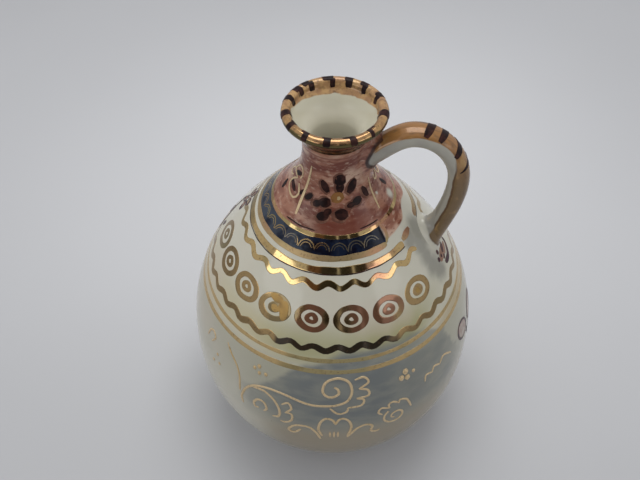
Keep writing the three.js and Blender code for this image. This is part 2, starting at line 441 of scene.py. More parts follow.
# %% [markdown]
# ## Throwing the pot
#
# A potter's wheel turns a line into a vessel, and so does the helper below: it sets copies of an outline
# round the axis and joins them with faces. It also keeps, on every point, how far along the outline that
# point lies, so that a finish can change on the way over the lip. The Spin tool would do the same by hand.

# %% Turning an outline into a vessel
TURNS = 192
ON_AXIS = 1e-6  # a smaller radius is a point on the axis
CREASE = 40  # degrees; faces that meet more sharply keep an edge


def arc(start, corner, end, steps):
    """A quadratic Bezier arc that rounds a corner."""
    share = np.linspace(0, 1, steps + 1)[:, None]
    return (1 - share) ** 2 * start + 2 * share * (1 - share) * corner + share**2 * end


def rounded(corners, radius, steps=4):
    """A closed outline whose corners are softened by small arcs."""
    arcs = []
    for before, corner, after in zip(np.roll(corners, 1, 0), corners, np.roll(corners, -1, 0)):
        ways = before - corner, after - corner
        start, end = (corner + way / np.hypot(*way) * radius for way in ways)
        arcs.append(arc(start, corner, end, steps))
    return np.vstack(arcs)


def quads(rows, closed):
    """Faces between rows of points, the last row to the first if closed; doubled corners are left out."""
    faces = []
    for low, high in zip(rows, rows[1:] + rows[:1] if closed else rows[1:]):
        for here in range(len(low)):
            there = (here + 1) % len(low)
            faces.append(list(dict.fromkeys((low[here], low[there], high[there], high[here]))))
    return faces


def finish_mesh(name, points, faces, material):
    """A smooth mesh object from points in millimetres, with its material and its sharp edges."""
    made = new_object(name, (np.array(points) * MM).tolist(), faces=faces)
    made.data.materials.append(material)
    made.data.shade_smooth()
    made.data.set_sharp_from_angle(angle=math.radians(CREASE))
    print(f"{name}: {len(points)} points, {len(faces)} faces")
    return made


def note(made, name, values):
    """Stores one number for every point of a mesh, for a material or a tree to read."""
    made.data.attributes.new(name, "FLOAT", "POINT").data.foreach_set("value", np.array(values, float))


def thrown(name, outline, material, closed=True):
    """Turns an outline about the axis. It closes on itself, or else both its ends lie on the axis."""
    angles = np.arange(TURNS) * 2 * math.pi / TURNS
    points, runs, rows = [], [], []
    for (radius, height), run in zip(outline, run_along(outline)):
        around = angles if radius > ON_AXIS else angles[:1]
        rows.append([len(points) + turn % len(around) for turn in range(TURNS)])
        points.extend((radius * math.cos(angle), radius * math.sin(angle), height) for angle in around)
        runs.extend([run] * len(around))
    made = finish_mesh(name, points, quads(rows, closed), material)
    note(made, "run", runs)
    return made


print(f"the wheel sets {TURNS} copies of an outline round the axis")

# %% [markdown]
# ## Glazes
#
# All glazes start from one recipe: a hard, glassy surface whose colour is layered from soft patches. The
# recipes read Object coordinates, which stay on the pot when the camera moves. Height and the angle from
# the handle say where on the pot a patch lies, because that is how a painter works: in bands round the pot.

# %% Glaze helpers


def cloud_of(place, scale, detail=2.0, stretch=(1, 1, 1)):
    """Soft patches; the scale is in patches per metre, and stretch squeezes them along an axis."""
    mapped = add(place.id_data, "ShaderNodeMapping", {"Scale": stretch, "Vector": place}).outputs["Vector"]
    inputs = {"Scale": scale, "Detail": detail, "Vector": mapped}
    return add(place.id_data, "ShaderNodeTexNoise", inputs).outputs["Fac"]


def laid(colour, *layers):
    """Lays tones over a colour one after the other; each comes after its amount."""
    for amount, tone in layers:
        colour = layer(amount, colour, tone)
    return colour


def glazed(name, roughness, spread=0.05):
    """A glassy material with slightly uneven gloss, and the coordinates that its recipe reads."""
    material, place = new_material(name)
    gloss = step(cloud_of(place, 90, 3), 0.35, 0.65, roughness, roughness + spread)
    fill(material.node_tree.nodes["Principled BSDF"], {"Roughness": gloss})
    return material, place


def fired(material, inputs, height, strength, depth):
    """Ends a recipe: fills the shader's inputs and lets a grey value raise the surface by up to depth."""
    bump = {"Strength": strength, "Distance": depth * MM, "Height": height}
    normal = add(material.node_tree, "ShaderNodeBump", bump).outputs["Normal"]
    fill(material.node_tree.nodes["Principled BSDF"], {**inputs, "Normal": normal})
    print(f"{material.name}: {len(material.node_tree.nodes)} nodes")
    return material


def specks(place, scale, size):
    """Small scattered dots of iron, as in any hand-mixed glaze."""
    cells = add(place.id_data, "ShaderNodeTexVoronoi", {"Scale": scale, "Vector": place})
    return step(cells.outputs["Distance"], size, size * 0.5)


def noted(material, name):
    """A number that was stored on the points of the mesh."""
    return add(material.node_tree, "ShaderNodeAttribute", attribute_name=name).outputs["Fac"]


print("glaze helpers:", [helper.__name__ for helper in (cloud_of, laid, glazed, fired, specks, noted)])

# %% [markdown]
# ## Uneven edges
#
# A brush never leaves a ruled edge. Moving a value or a place about by noise before it is measured makes
# a plain shape wander. A smudge is a soft spot round a place on the wall: the distance to it is compared
# with a reach, which needs no painted map.

# %% Shaking and smudging


def shaken_by(value, noise, reach):
    """Moves a value by up to half of reach either way."""
    return sum_of("MULTIPLY_ADD", sum_of("SUBTRACT", noise, 0.5), reach, value)


def shaken_place(place, scale, reach):
    """Coordinates moved about by noise, by up to reach in millimetres."""
    noise = add(place.id_data, "ShaderNodeTexNoise", {"Scale": scale, "Detail": 3.0, "Vector": place})
    centred = vector_sum("SUBTRACT", noise.outputs["Color"], (0.5, 0.5, 0.5))
    return vector_sum("MULTIPLY_ADD", centred, (2 * reach * MM,) * 3, place)


def smudge(place, spots, soft):
    """How near a place is to any of the spots, each an azimuth and a height; soft is the reach."""
    amount = 0.0
    for azimuth, level in spots:
        around, out = math.radians(azimuth), radius_at(level)
        middle = np.array((out * math.cos(around), out * math.sin(around), level)) * MM
        away = vector_sum("DISTANCE", place, middle)
        amount = sum_of("MAXIMUM", amount, step(away, soft * MM, 0.25 * soft * MM))
    return amount


print("a spot on the shoulder at 120 mm lies", round(float(radius_at(120)), 1), "mm from the axis")

# %% [markdown]
# ## The off-white ground
#
# The belly and shoulder are dipped in one off-white glaze. It fired straw yellow round the shoulder and
# pearl grey on the belly. It is greyer low down, partly its own tone and partly painted shade where the
# belly turns under, and paler at the left and the sides, which is painted light. Each change is one soft
# step along height or across, so every tone can be moved without touching the others.

# %% The off-white ground of belly and shoulder
IVORY = (0.56, 0.54, 0.45)
STRAW = (0.325, 0.31, 0.138)
STRAW_PALE = (0.50, 0.445, 0.26)
BLUSH = (0.54, 0.46, 0.38)
PEARL = (0.375, 0.365, 0.285)
LOW_GREY_AND_SHADE = (0.30, 0.26, 0.19)
HAZE_GOLD = (0.44, 0.35, 0.20)
STRAW_ZONE = (99, 112)  # heights in millimetres, as are the next three
PEARL_EDGE = (99, 95)
LOW_EDGE = (72, 52)
HAZE_ZONE = (96, 101)


def off_white(place, axes):
    """Straw shoulder, pearl belly, a grey foot partly painted shade, painted light at the left and the
    sides.
    """
    tinted = times(
        between(axes["Z"], *STRAW_ZONE, 6),
        step(axes["X"], 48, 35, 0.15, 1),
        step(cloud_of(place, 24, 3), 0.36, 0.6, 0.65, 1.0),
    )
    at_left = step(axes["X"], -12, -42)
    to_side = sum_of("ABSOLUTE", axes["X"])
    # painted light on the left of the belly
    painted_light_left = times(at_left, step(axes["Z"], 98, 60, 0.35, 0.85))
    beside = times(step(to_side, 42, 54, 0, 0.8), step(at_left, 0, 1, 1, 0.45))
    haze = times(beside, between(axes["Z"], *HAZE_ZONE, 2))
    return laid(
        IVORY,
        (tinted, layer(step(axes["X"], -32, -8), STRAW_PALE, STRAW)),
        (step(axes["Z"], *PEARL_EDGE), PEARL),
        (step(cloud_of(place, 30, 2), 0.52, 0.72, 0, 0.5), BLUSH),
        # greyer low down: partly the glaze's tone, partly painted shade where the belly turns under
        (times(step(axes["Z"], *LOW_EDGE), step(at_left, 0, 1, 1, 0.1)), LOW_GREY_AND_SHADE),
        # painted light: paler on the left and along both sides
        (sum_of("MAXIMUM", painted_light_left, step(to_side, 42, 62, 0, 0.4)), IVORY),
        (haze, HAZE_GOLD),
    )


print(f"straw from {STRAW_ZONE[0]} to {STRAW_ZONE[1]} mm, pearl below {PEARL_EDGE[0]} mm")

# %% [markdown]
# ## The slate wash
#
# Behind the scrolls lies a thin blue-grey wash, put on with a broad brush at the front and again at the
# back. Its head rises and drops with the angle, its sides are thinner, and streaks from the bristles run
# round the pot. The angle is wrapped, so that one description serves both sides of the pot.

# %% The slate wash
SLATE = (0.166, 0.180, 0.178)
SCROLL_MIDDLE = (-84.0, 78.0)  # azimuth in degrees and height of the middle of the scrolls
WASH_TURNS = (120, -60)  # degrees from that middle; the wash comes again after half a turn
WASH_FOOT = (53, 72)  # heights over which the wash thickens


def slate_wash(place, axes):
    """How much of the wash lies on a place: broad brush strokes behind the scrolls, front and back."""
    turn = sum_of("SUBTRACT", angle_of(axes), SCROLL_MIDDLE[0])
    turn = sum_of("WRAP", turn, *WASH_TURNS)
    bristles = cloud_of(place, 70, 4, (1, 1, 2.6))
    turn = shaken_by(shaken_by(turn, cloud_of(place, 26, 1), 26), bristles, 10)
    head = sum_of("ADD", step(turn, -38, -13, 78, 99), step(turn, -14, 2, 0, 5.5))
    head = sum_of("ADD", head, step(turn, 36, 62, 0, -26))
    depth = sum_of("SUBTRACT", head, shaken_by(axes["Z"], bristles, 5))
    upright = times(step(depth, -1.5, 3), step(axes["Z"], *WASH_FOOT))
    sides = times(step(turn, -46, -34), step(turn, 72, 48))
    thinner = times(step(turn, -34, -8, 0.62, 1), step(turn, 12, 42, 1, 0.72))
    return times(upright, sides, thinner, step(bristles, 0.35, 0.62, 0.72, 1))


print(f"wash round azimuth {SCROLL_MIDDLE[0]:.0f} and again half a turn on")

# %% [markdown]
# ## Cobalt and plum
#
# The band under the neck is blue-black cobalt, bluer where the brush ran dry. The neck and the patch by the
# handle are a dusty plum, streaked round the pot and scuffed. Each colour starts from one tone, and clouds
# of different sizes lay a second and a third tone over it, as thin and thick paint do.

# %% Cobalt ink and plum wash
COBALT = (0.008, 0.013, 0.030)
INK = (0.004, 0.004, 0.010)
TEAL = (0.050, 0.062, 0.084)
PLUM = (0.37, 0.175, 0.115)
PLUM_DEEP = (0.16, 0.046, 0.030)
PLUM_PALE = (0.57, 0.40, 0.30)


def cobalt_ink(place, axes):
    """Blue-black paint, thinner and bluer towards the left of the front."""
    thin = sum_of("ADD", cloud_of(place, 120, 3), step(axes["X"], 4, -14, -0.08, 0.14))
    bluer = step(cloud_of(place, 160, 4), 0.4, 0.62)
    return laid(INK, (bluer, COBALT), (step(thin, 0.50, 0.68, 0, 0.9), TEAL))


def plum_wash(place):
    """A dusty plum colour in streaks that run round the pot, worn thin in places."""
    scuffs = cloud_of(place, 420, 4, (1, 1, 2.4))
    return laid(
        PLUM,
        (step(cloud_of(place, 60, 5, (1, 1, 4)), 0.42, 0.66), PLUM_DEEP),
        (step(cloud_of(place, 80, 5, (1, 1, 2)), 0.48, 0.70, 0, 0.8), PLUM_PALE),
        (step(scuffs, 0.54, 0.72, 0, 0.55), PLUM_PALE),
        (step(scuffs, 0.46, 0.30, 0, 0.8), PLUM_DEEP),
    )


print("cobalt in 3 tones, plum in 3 tones")

# %% [markdown]
# ## The belly's finish
#
# The body is one fired piece, so it gets one material: ground, wash, a grey patch of painted shadow and
# reflection of the handle, specks of iron, and then the cobalt band and the plum patch. Both end near the
# handle, where the brush could not reach. Paint shines less than bare glaze, so it also lowers the gloss.

# %% The belly's glaze
IRON = (0.10, 0.09, 0.07)
# painted shadow and reflection of the handle: its grey, where it lies and how far it reaches
SHADE_GREY = (0.14, 0.14, 0.125)
HANDLE_SHADOW_SPOTS = (  # azimuth and height
    (-20.5, 129.3), (-9.5, 129.0), (-14.0, 126.6), (-16.0, 123.8),
    (-18.5, 119.8), (-18.5, 116.2), (-16.0, 112.6),
)
HANDLE_SHADOW_REACH = 8.0
BAND_FOOT = 134.4  # heights in millimetres, as are the patch's two
BAND_HEAD = 141.2
BAND_END = (40, 42)  # degrees from the handle
PATCH_FEET = (137.4, 135.2)
BARE_SHINE = 0.24
PAINT_SHINE = 0.15


def belly_glaze():
    """The off-white belly with its wash, the handle's painted shadow, specks, the cobalt band and the plum
    patch.
    """
    material, place = glazed("belly_glaze", 0.06, 0.04)
    axes = axes_of(place)
    wander = cloud_of(place, 110, 3)
    height = shaken_by(axes["Z"], wander, 0.9)
    from_handle = shaken_by(sum_of("ABSOLUTE", angle_of(axes)), wander, 5)
    past_end = step(from_handle, *BAND_END)
    in_band = times(between(height, BAND_FOOT, BAND_HEAD, 0.25), past_end)
    over_foot = sum_of("SUBTRACT", height, step(from_handle, 2, 16, *PATCH_FEET))
    in_patch = times(step(over_foot, -0.3, 0.3), sum_of("SUBTRACT", 1.0, past_end))
    # painted shadow and reflection of the handle beside its foot
    handle_shadow = smudge(shaken_place(place, 120, 3), HANDLE_SHADOW_SPOTS, HANDLE_SHADOW_REACH)
    colour = laid(
        off_white(place, axes),
        (slate_wash(place, axes), SLATE),
        (times(handle_shadow, 0.6), SHADE_GREY),
        (specks(place, 95, 0.035), IRON),
        (in_band, cobalt_ink(place, axes)),
        (in_patch, plum_wash(place)),
    )
    shine = step(sum_of("MAXIMUM", in_band, in_patch), 0, 1, BARE_SHINE, PAINT_SHINE)
    inputs = {"Base Color": colour, "Specular IOR Level": shine}
    return fired(material, inputs, cloud_of(place, 55, 2), 0.25, 0.4)


BELLY_GLAZE = belly_glaze()

# %% [markdown]
# ## The neck's finish
#
# The neck is washed with the same plum, brushed round it, so its streaks are level. The wash is darker at
# the foot of the neck and in a thin ring under the lip, and it missed two small spots. Inside, the throat
# is painted paler, as painted light where little light reaches. The material tells outside from inside by
# the run along the outline that the wheel stored.

# %% The plum wash of the neck
NECK_RUN = run_along(neck_line)[-1]  # millimetres up the outside of the neck
MOUTH_IVORY = (0.49, 0.465, 0.36)
THROAT_PAINTED_LIGHT = (0.80, 0.77, 0.65)
BARE_SPOTS = ((-3.0, 143.2, 3.2), (-20.5, 148.0, 1.1))  # azimuth, height and reach where bare glaze shows
DARKER_NECK_ZONE = (150, 143)  # heights
UNDER_LIP = (169.0, 169.8)
WASH_SHINE = 0.3


def neck_glaze():
    """A streaky plum wash, brushed round the neck, with two spots left bare."""
    material, place = glazed("neck_glaze", 0.16, 0.08)
    axes = axes_of(place)
    height = shaken_by(axes["Z"], cloud_of(place, 200, 3), 1.0)
    loose = shaken_place(place, 300, 0.8)
    colour = laid(
        plum_wash(place),
        # darker towards the foot of the neck, and in a thin ring under the lip
        (times(step(height, *DARKER_NECK_ZONE, 0, 0.8), between(axes["X"], -8, 15, 4)), PLUM_DEEP),
        (times(between(height, *UNDER_LIP, 0.2), 0.7), PLUM_DEEP),
        *((smudge(loose, [spot], reach), IVORY) for *spot, reach in BARE_SPOTS),
        # painted light: the inside of the throat is paler, where little light reaches
        (step(noted(material, "run"), NECK_RUN, NECK_RUN + 1), THROAT_PAINTED_LIGHT),
    )
    inputs = {"Base Color": colour, "Specular IOR Level": WASH_SHINE}
    return fired(material, inputs, cloud_of(place, 60, 5, (1, 1, 5)), 0.2, 0.25)


NECK_GLAZE = neck_glaze()

# %% [markdown]
# ## The lip's finish
#
# Tan lustre covers the bead and darkens to olive gold on the flare, where thin rings were cut in while the
# jug turned. At the back the tan runs into the mouth. Lustre is metal, and worn away towards the back, so
# one mask drives both the colour and how metallic the lip is.

# %% The tan lustre of the lip
TAN = (0.36, 0.20, 0.095)
OCHRE = (0.52, 0.32, 0.14)
UMBER = (0.13, 0.075, 0.04)
LIP_OLIVE = (0.15, 0.12, 0.055)
LIP_RINGS = (  # millimetres up the flare, and the ring's tone
    (0.8, UMBER), (1.8, OCHRE), (3.0, UMBER), (4.6, OCHRE), (6.2, UMBER),
)
RING_HALF = 0.25
FLARE_RUN = run_along(flare)[-1]
BEAD_ARC = run_along(bead_arc)[-1]
GILT_END = (FLARE_RUN + 3.5, FLARE_RUN + 3.1)


def lip_lustre():
    """Tan over the bead, dark gold with thin rings below it, off-white inside with tan running in."""
    material, place = glazed("lip_lustre", 0.10, 0.08)
    axes = axes_of(place)
    run = noted(material, "run")
    loose_run = shaken_by(run, cloud_of(place, 190, 3), 2.6)
    mottle = cloud_of(place, 260, 4)
    gilt = step(loose_run, *GILT_END)
    runs_in = step(axes["Y"], -4, 15, 0.2, 3.6)
    past = sum_of("SUBTRACT", loose_run, sum_of("ADD", runs_in, FLARE_RUN + BEAD_ARC))
    inside = step(past, -0.3, 0.3)
    colour = laid(
        TAN,
        (step(mottle, 0.35, 0.65), OCHRE),
        (step(cloud_of(place, 400, 2), 0.58, 0.72, 0, 0.7), UMBER),
        (step(cloud_of(place, 620, 5), 0.50, 0.68, 0, 0.45), UMBER),
        (gilt, LIP_OLIVE),
        *((between(run, ring - RING_HALF, ring + RING_HALF, 0.12), tone) for ring, tone in LIP_RINGS),
        # painted light: deeper in the mouth the glaze is paler, where little light reaches
        (inside, layer(step(axes["Z"], 179, 172), MOUTH_IVORY, THROAT_PAINTED_LIGHT)),
    )
    at_front = step(axes["Y"], 4, -10, 0.2, 0.75)
    lustre = times(sum_of("MAXIMUM", gilt, at_front), sum_of("SUBTRACT", 1.0, inside))
    return fired(material, {"Base Color": colour, "Metallic": lustre}, mottle, 0.2, 0.2)


LIP_LUSTRE = lip_lustre()

# %% [markdown]
# ## Bare clay
#
# A potter wipes the foot ring clean, so that the jug doesn't stick to the kiln shelf. What is left is buff
# clay, dull and gritty, with the marks of turning. Fine noise gives the grit, and noise squeezed flat gives
# the level marks.

# %% The bare clay of the foot
BUFF = (0.50, 0.36, 0.25)
BUFF_PALE = (0.62, 0.49, 0.36)
BUFF_DEEP = (0.36, 0.25, 0.17)


def bare_clay():
    """Unglazed buff clay, gritty and dull, with turning marks."""
    material, place = glazed("bare_clay", 0.75, 0.15)
    grit = cloud_of(place, 900, 4)
    marks = cloud_of(place, 60, 2, (0.2, 0.2, 12))
    colour = laid(BUFF, (step(grit, 0.35, 0.65), BUFF_PALE), (step(marks, 0.5, 0.7, 0, 0.3), BUFF_DEEP))
    return fired(material, {"Base Color": colour}, grit, 0.5, 0.15)


BARE_CLAY = bare_clay()

# %% [markdown]
# ## The four thrown pieces
#
# The foot ring carries the jug, the body is a hollow shell with a floor, the neck grows out of the
# shoulder and the lip ends in a round bead. Each is a closed wall with an inside and an outside, so a
# look into the mouth shows real clay. They meet at the same points of the wall's line, with no gap.

# %% Throwing foot, body, neck and lip
FLOOR_EDGE = 33.0  # radius of the floor inside the belly
RING_WIDTH = 7.0
FOOT_ROUND = 0.9

inside_seat = np.array((FLOOR_EDGE, body_box[0][2] + BODY_FLOOR))
neck_seat_inside = neck_seat - BODY_WALL / math.sin(math.radians(SHOULDER_LEAN)) * OUT
throat_inside = THROAT - NECK_WALL * OUT
ring_outer, ring_top = foot_box[1][0], foot_box[1][2]
ring_inner = ring_outer - RING_WIDTH

ring_corners = ((ring_outer, 0.0), (ring_outer, ring_top), (ring_inner, ring_top), (ring_inner, 0.0))
body_outline = np.vstack([
    [(0, seat[1])],
    body_line,
    body_wall(inside_seat, belly - BODY_WALL * OUT, neck_seat_inside)[::-1],
    [(0, inside_seat[1])],
])
neck_outline = np.vstack([neck_line, neck_wall(neck_seat_inside, throat_inside, lip_seat_inside)[::-1]])

foot_ring = thrown("foot_ring_clay", rounded(np.array(ring_corners), FOOT_ROUND), BARE_CLAY)
body = thrown("body_glazed", body_outline, BELLY_GLAZE, closed=False)
neck = thrown("neck_washed", neck_outline, NECK_GLAZE)
lip = thrown("lip_lustred", strung(flare, bead_arc, funnel), LIP_LUSTRE)

# %% [markdown]
# ## The handle
#
# The handle is one pulled strap of clay, oval in section and flatter on its outer face, that springs from
# the neck just under the lip and lands on the shoulder. It is lofted: an oval is carried along a line
# of three Bezier arcs. Each lengthwise line of the oval is trimmed where it meets the vessel, so both ends
# follow the saddle of the round wall.

# %% The strap's line
ROOT_HEIGHT = 162.0
ROOT_LEAN = 38  # degrees
CREST_STEP = (18.4, 11.5)  # out and up from the root to the crest
BACK_STEP = (18.3, -23.0)  # from the crest to the outermost point
FOOT_HEIGHT = 120.0
FOOT_LEAN = -107  # degrees
STRAP_SINK = 8.0
STRAP_WIDTH = 10.7
STRAP_THICKNESS = 9.8
STRAP_FLATNESS = 0.12
STRAP_TAPER = 0.1
STRAP_STEPS = 40
HALVINGS = 40  # of the stretch in which the wall is looked for

root = np.array((radius_at(ROOT_HEIGHT), ROOT_HEIGHT))
crest = root + CREST_STEP
outermost = crest + BACK_STEP
landing = np.array((radius_at(FOOT_HEIGHT), FOOT_HEIGHT))
strap_line = strung(
    np.linspace(root - leaning(ROOT_LEAN, STRAP_SINK), root, STRAP_STEPS // 4),
    bend(root, leaning(ROOT_LEAN, 9.0), 7.0 * OUT, crest, STRAP_STEPS),
    bend(crest, 9.9 * OUT, -12.7 * UP, outermost, STRAP_STEPS),
    bend(outermost, -10.0 * UP, leaning(FOOT_LEAN, 12.0), landing, STRAP_STEPS),
    np.linspace(landing, landing + leaning(FOOT_LEAN, STRAP_SINK), STRAP_STEPS // 4),
)
strap_run = run_along(strap_line)
strap_ways = np.gradient(strap_line, strap_run, axis=0)
STRAP_LENGTH = strap_run[-1]


def on_strap(run, angle, growth=0.0):
    """The point on the strap's surface at a distance along it and an angle round it."""
    centre = np.array([np.interp(run, strap_run, strap_line[:, k]) for k in range(2)])
    way = np.array([np.interp(run, strap_run, strap_ways[:, k]) for k in range(2)])
    way = way / np.hypot(*way)
    slim = 1 - STRAP_TAPER * run / STRAP_LENGTH
    up = math.sin(angle)
    rise = up * (STRAP_THICKNESS / 2 * slim + growth) * (1 - STRAP_FLATNESS * max(up, 0))
    out, height = centre + np.array((-way[1], way[0])) * rise
    return np.array((out, math.cos(angle) * (STRAP_WIDTH / 2 * slim + growth), height))


def clear_of_wall(point):
    """How far outside the vessel's wall a point lies, level with it."""
    return math.hypot(point[0], point[1]) - radius_at(point[2])


def meeting(angle, buried, free):
    """The distance along the strap where one of its lengthwise lines meets the wall."""
    for _ in range(HALVINGS):
        middle = (buried + free) / 2
        if clear_of_wall(on_strap(middle, angle)) > 0:
            free = middle
        else:
            buried = middle
    return free


print(f"strap line {STRAP_LENGTH:.1f} mm long, sunk ends included")

# %% [markdown]
# ## The strap's finish
#
# Tan paint is brushed along the outer face, and from the crest down it wraps further round. The underside
# keeps its off-white glaze, with painted shade along its innermost face. The strap stores how far along and
# how far outward each point lies, so the edge of the paint follows the strap wherever it bends.

# %% The strap's glaze
STRAP_TAN = (0.30, 0.145, 0.048)
STRAP_GOLD = (0.40, 0.25, 0.105)
STRAP_OLIVE = (0.185, 0.120, 0.058)
PALE_GLAZE = (0.34, 0.325, 0.285)
STRAP_METAL = 0.12


def handle_glaze():
    """Tan brushed along the outer face, wider from the crest down, off-white glaze on the rest."""
    material, place = glazed("handle_glaze", 0.13, 0.10)
    along, outer = noted(material, "along"), noted(material, "outer")
    streaks = cloud_of(place, 190, 5, (0.7, 2.2, 0.7))
    tan = laid(
        STRAP_TAN,
        (step(along, 0.42, 0.62), STRAP_OLIVE),
        (step(streaks, 0.30, 0.48, 0.8, 0), STRAP_GOLD),
        (step(streaks, 0.52, 0.72, 0, 0.8), UMBER),
    )
    pale = laid(
        PALE_GLAZE,
        (step(cloud_of(place, 60, 3), 0.4, 0.7, 0, 0.4), IVORY),
        (specks(place, 120, 0.05), IRON),
        # painted shade along the innermost face, which turns towards the pot
        (step(outer, -0.78, -0.97, 0, 0.55), SHADE_GREY),
    )
    edge = step(along, 0.42, 0.60, 0.42, -0.5)
    over = sum_of("SUBTRACT", shaken_by(outer, cloud_of(place, 120, 3), 0.3), edge)
    painted = step(over, -0.04, 0.06)
    rim = times(between(over, -0.1, 0.06, 0.03), step(along, 0.44, 0.54))
    colour = laid(pale, (painted, tan), (rim, UMBER))
    inputs = {"Base Color": colour, "Metallic": times(painted, STRAP_METAL)}
    return fired(material, inputs, streaks, 0.2, 0.25)


HANDLE_GLAZE = handle_glaze()

# %% [markdown]
# ## Lofting the strap
#
# The potter presses the ends of the strap into the pot. Here every lengthwise line of the oval runs from
# where it leaves the neck to where it meets the shoulder, with a small bite into the wall at both ends, so
# no crack shows. A curve with a bevel would be quicker, but its ends could not follow the wall.

# %% Lofting the strap
STRAP_SIDES = 48
STRAP_RINGS = 110
BITE = 1.2  # how deep the strap's ends reach into the wall
ROOT_SEARCH = 0.3  # shares of the strap's length up to which each end may lie in the wall
FOOT_SEARCH = 0.7

side_angles = np.arange(STRAP_SIDES) * 2 * math.pi / STRAP_SIDES
root_runs = np.array([meeting(angle, 0, ROOT_SEARCH * STRAP_LENGTH) for angle in side_angles])
foot_runs = np.array([meeting(angle, STRAP_LENGTH, FOOT_SEARCH * STRAP_LENGTH) for angle in side_angles])


def lofted(name, rings, material, capped):
    """Joins rings of points with faces; capped ends close a rod, or else the last ring meets the first."""
    sides = len(rings[0])
    rows = [list(range(ring * sides, (ring + 1) * sides)) for ring in range(len(rings))]
    faces = quads(rows, closed=not capped)
    if capped:
        faces += [rows[0][::-1], rows[-1]]
    made = finish_mesh(name, [point for ring in rings for point in ring], faces, material)
    whole = bmesh.new()
    whole.from_mesh(made.data)
    bmesh.ops.recalc_face_normals(whole, faces=whole.faces)
    whole.to_mesh(made.data)
    whole.free()
    return made


strap_rings, strap_along, strap_outer = [], [], []
for share in np.linspace(0, 1, STRAP_RINGS):
    runs = (root_runs - BITE) * (1 - share) + (foot_runs + BITE) * share
    strap_rings.append([on_strap(run, angle) for run, angle in zip(runs, side_angles)])
    strap_along.extend(runs / STRAP_LENGTH)
    strap_outer.extend(np.sin(side_angles))
handle = lofted("handle_strap", strap_rings, HANDLE_GLAZE, capped=True)
note(handle, "along", strap_along)
note(handle, "outer", strap_outer)

# %% [markdown]
# ## Smoothing the handle on
#
# Where the strap meets the pot, the potter wipes a little wet clay into the corner. Each joint is such a
# fillet: on every side it leaves the strap, bends through the corner and runs out on the wall. The bend is
# a quadratic Bezier arc, and a row of points sunk into the clay closes it behind.

# %% The shape of a wiped joint
FILLET_STEPS = 8
FILLET_SINK = 0.12  # the feathered edges dip this far under, so that they don't show
BURIED_RUN = 0.6  # where the row inside the clay lies: past the corner
BURIED_DEPTH = 0.8  # and under the strap's skin


def on_wall(point, lift=0.0):
    """The nearest point of the vessel's outside to a point, lifted along the wall's normal."""
    around = math.atan2(point[1], point[0])
    flat = np.array((math.hypot(point[0], point[1]), point[2]))
    wall = skin[outside]
    nearest = int(np.argmin(np.hypot(*(wall - flat).T)))
    way = wall[min(nearest + 1, len(wall) - 1)] - wall[max(nearest - 1, 0)]
    way = way / np.hypot(*way)
    start = wall[nearest]
    out, height = start + way * np.dot(flat - start, way) + np.array((way[1], -way[0])) * lift
    return np.array((out * math.cos(around), out * math.sin(around), height))


def wiped_joint(name, runs, onward, reaches, material):
    """A fillet round one end of the strap; onward is +1 at the root, where the strap leaves the wall.

    reaches gives how far it goes up the strap and out on the pot: at the sides, in and outside the bend.
    """
    corners = [on_strap(run, angle) for run, angle in zip(runs, side_angles)]
    middle = np.mean(corners, axis=0)
    rings = [[] for _ in range(FILLET_STEPS + 2)]
    at_sides, in_bend, out_of_bend = np.array(reaches)
    for run, angle, corner in zip(runs, side_angles, corners):
        lean = math.sin(angle)
        up_strap, on_pot = at_sides * (1 - lean**2) + (out_of_bend if lean > 0 else in_bend) * lean**2
        high = on_strap(run + onward * up_strap, angle, -FILLET_SINK)
        away = corner - middle
        low = on_wall(corner + away / np.linalg.norm(away) * on_pot, -FILLET_SINK)
        for ring, point in zip(rings, arc(high, corner, low, FILLET_STEPS)):
            ring.append(point)
        rings[-1].append(on_strap(run - onward * BURIED_RUN, angle, -BURIED_DEPTH))
    made = lofted(name, rings, material, capped=False)
    onto = np.minimum(np.arange(FILLET_STEPS + 2) / FILLET_STEPS, 1.0)
    note(made, "onto", np.repeat(onto, STRAP_SIDES))
    note(made, "outer", np.tile(np.sin(side_angles), FILLET_STEPS + 2))
    return made


print(f"a joint has {FILLET_STEPS + 2} rings of {STRAP_SIDES} points")

# %% [markdown]
# ## The joints' finish
#
# The glaze pools in such corners and the paint of the strap runs out into them. The crease of the upper
# joint is dark, partly with plum paint and partly as painted shade; the lower one much less. Both materials
# are one recipe with other numbers: what wash lies on the pot there, where the strap's paint ends, and how
# wide and dark the crease is.

# %% The wiped joints
CREASE_INK_AND_SHADE = (0.022, 0.012, 0.012)
ROOT_REACHES = ((5.0, 3.5), (9.0, 5.5), (17.0, 9.0))  # up the strap and out on the pot
FOOT_REACHES = ((5.5, 4.5), (13.0, 7.5), (3.0, 2.5))
ROOT_CREASE = (0.9, 0.8, 0.22)  # how dark beside the off-white, beside the paint, and how wide
FOOT_CREASE = (0.0, 0.6, 0.04)


def ivory_wash(place):
    """Off-white glaze, thin in places."""
    return layer(step(cloud_of(place, 130, 3), 0.45, 0.75, 0, 0.35), IVORY, PALE_GLAZE)


def joint_glaze(name, pot_wash, strap_colour, edge, reach, crease):
    """Off-white glaze and strap paint running into the pot's wash; the crease is paint and painted shade.
    """
    material, place = glazed(name, 0.14, 0.08)
    wander = cloud_of(place, 150, 3)
    loose = shaken_by(noted(material, "onto"), wander, 0.3)
    painted = step(shaken_by(noted(material, "outer"), wander, 0.3), edge - 0.06, edge + 0.06)
    beside_pale, beside_paint, width = crease
    # the crease: plum paint and painted shade
    dark = between(loose, reach, reach + width, 0.06)
    colour = laid(
        PALE_GLAZE,
        (painted, strap_colour),
        (step(loose, reach, reach + 0.12), pot_wash(place)),
        (times(dark, step(painted, 0, 1, beside_pale, beside_paint)), CREASE_INK_AND_SHADE),
    )
    return fired(material, {"Base Color": colour}, cloud_of(place, 180, 2), 0.2, 0.2)


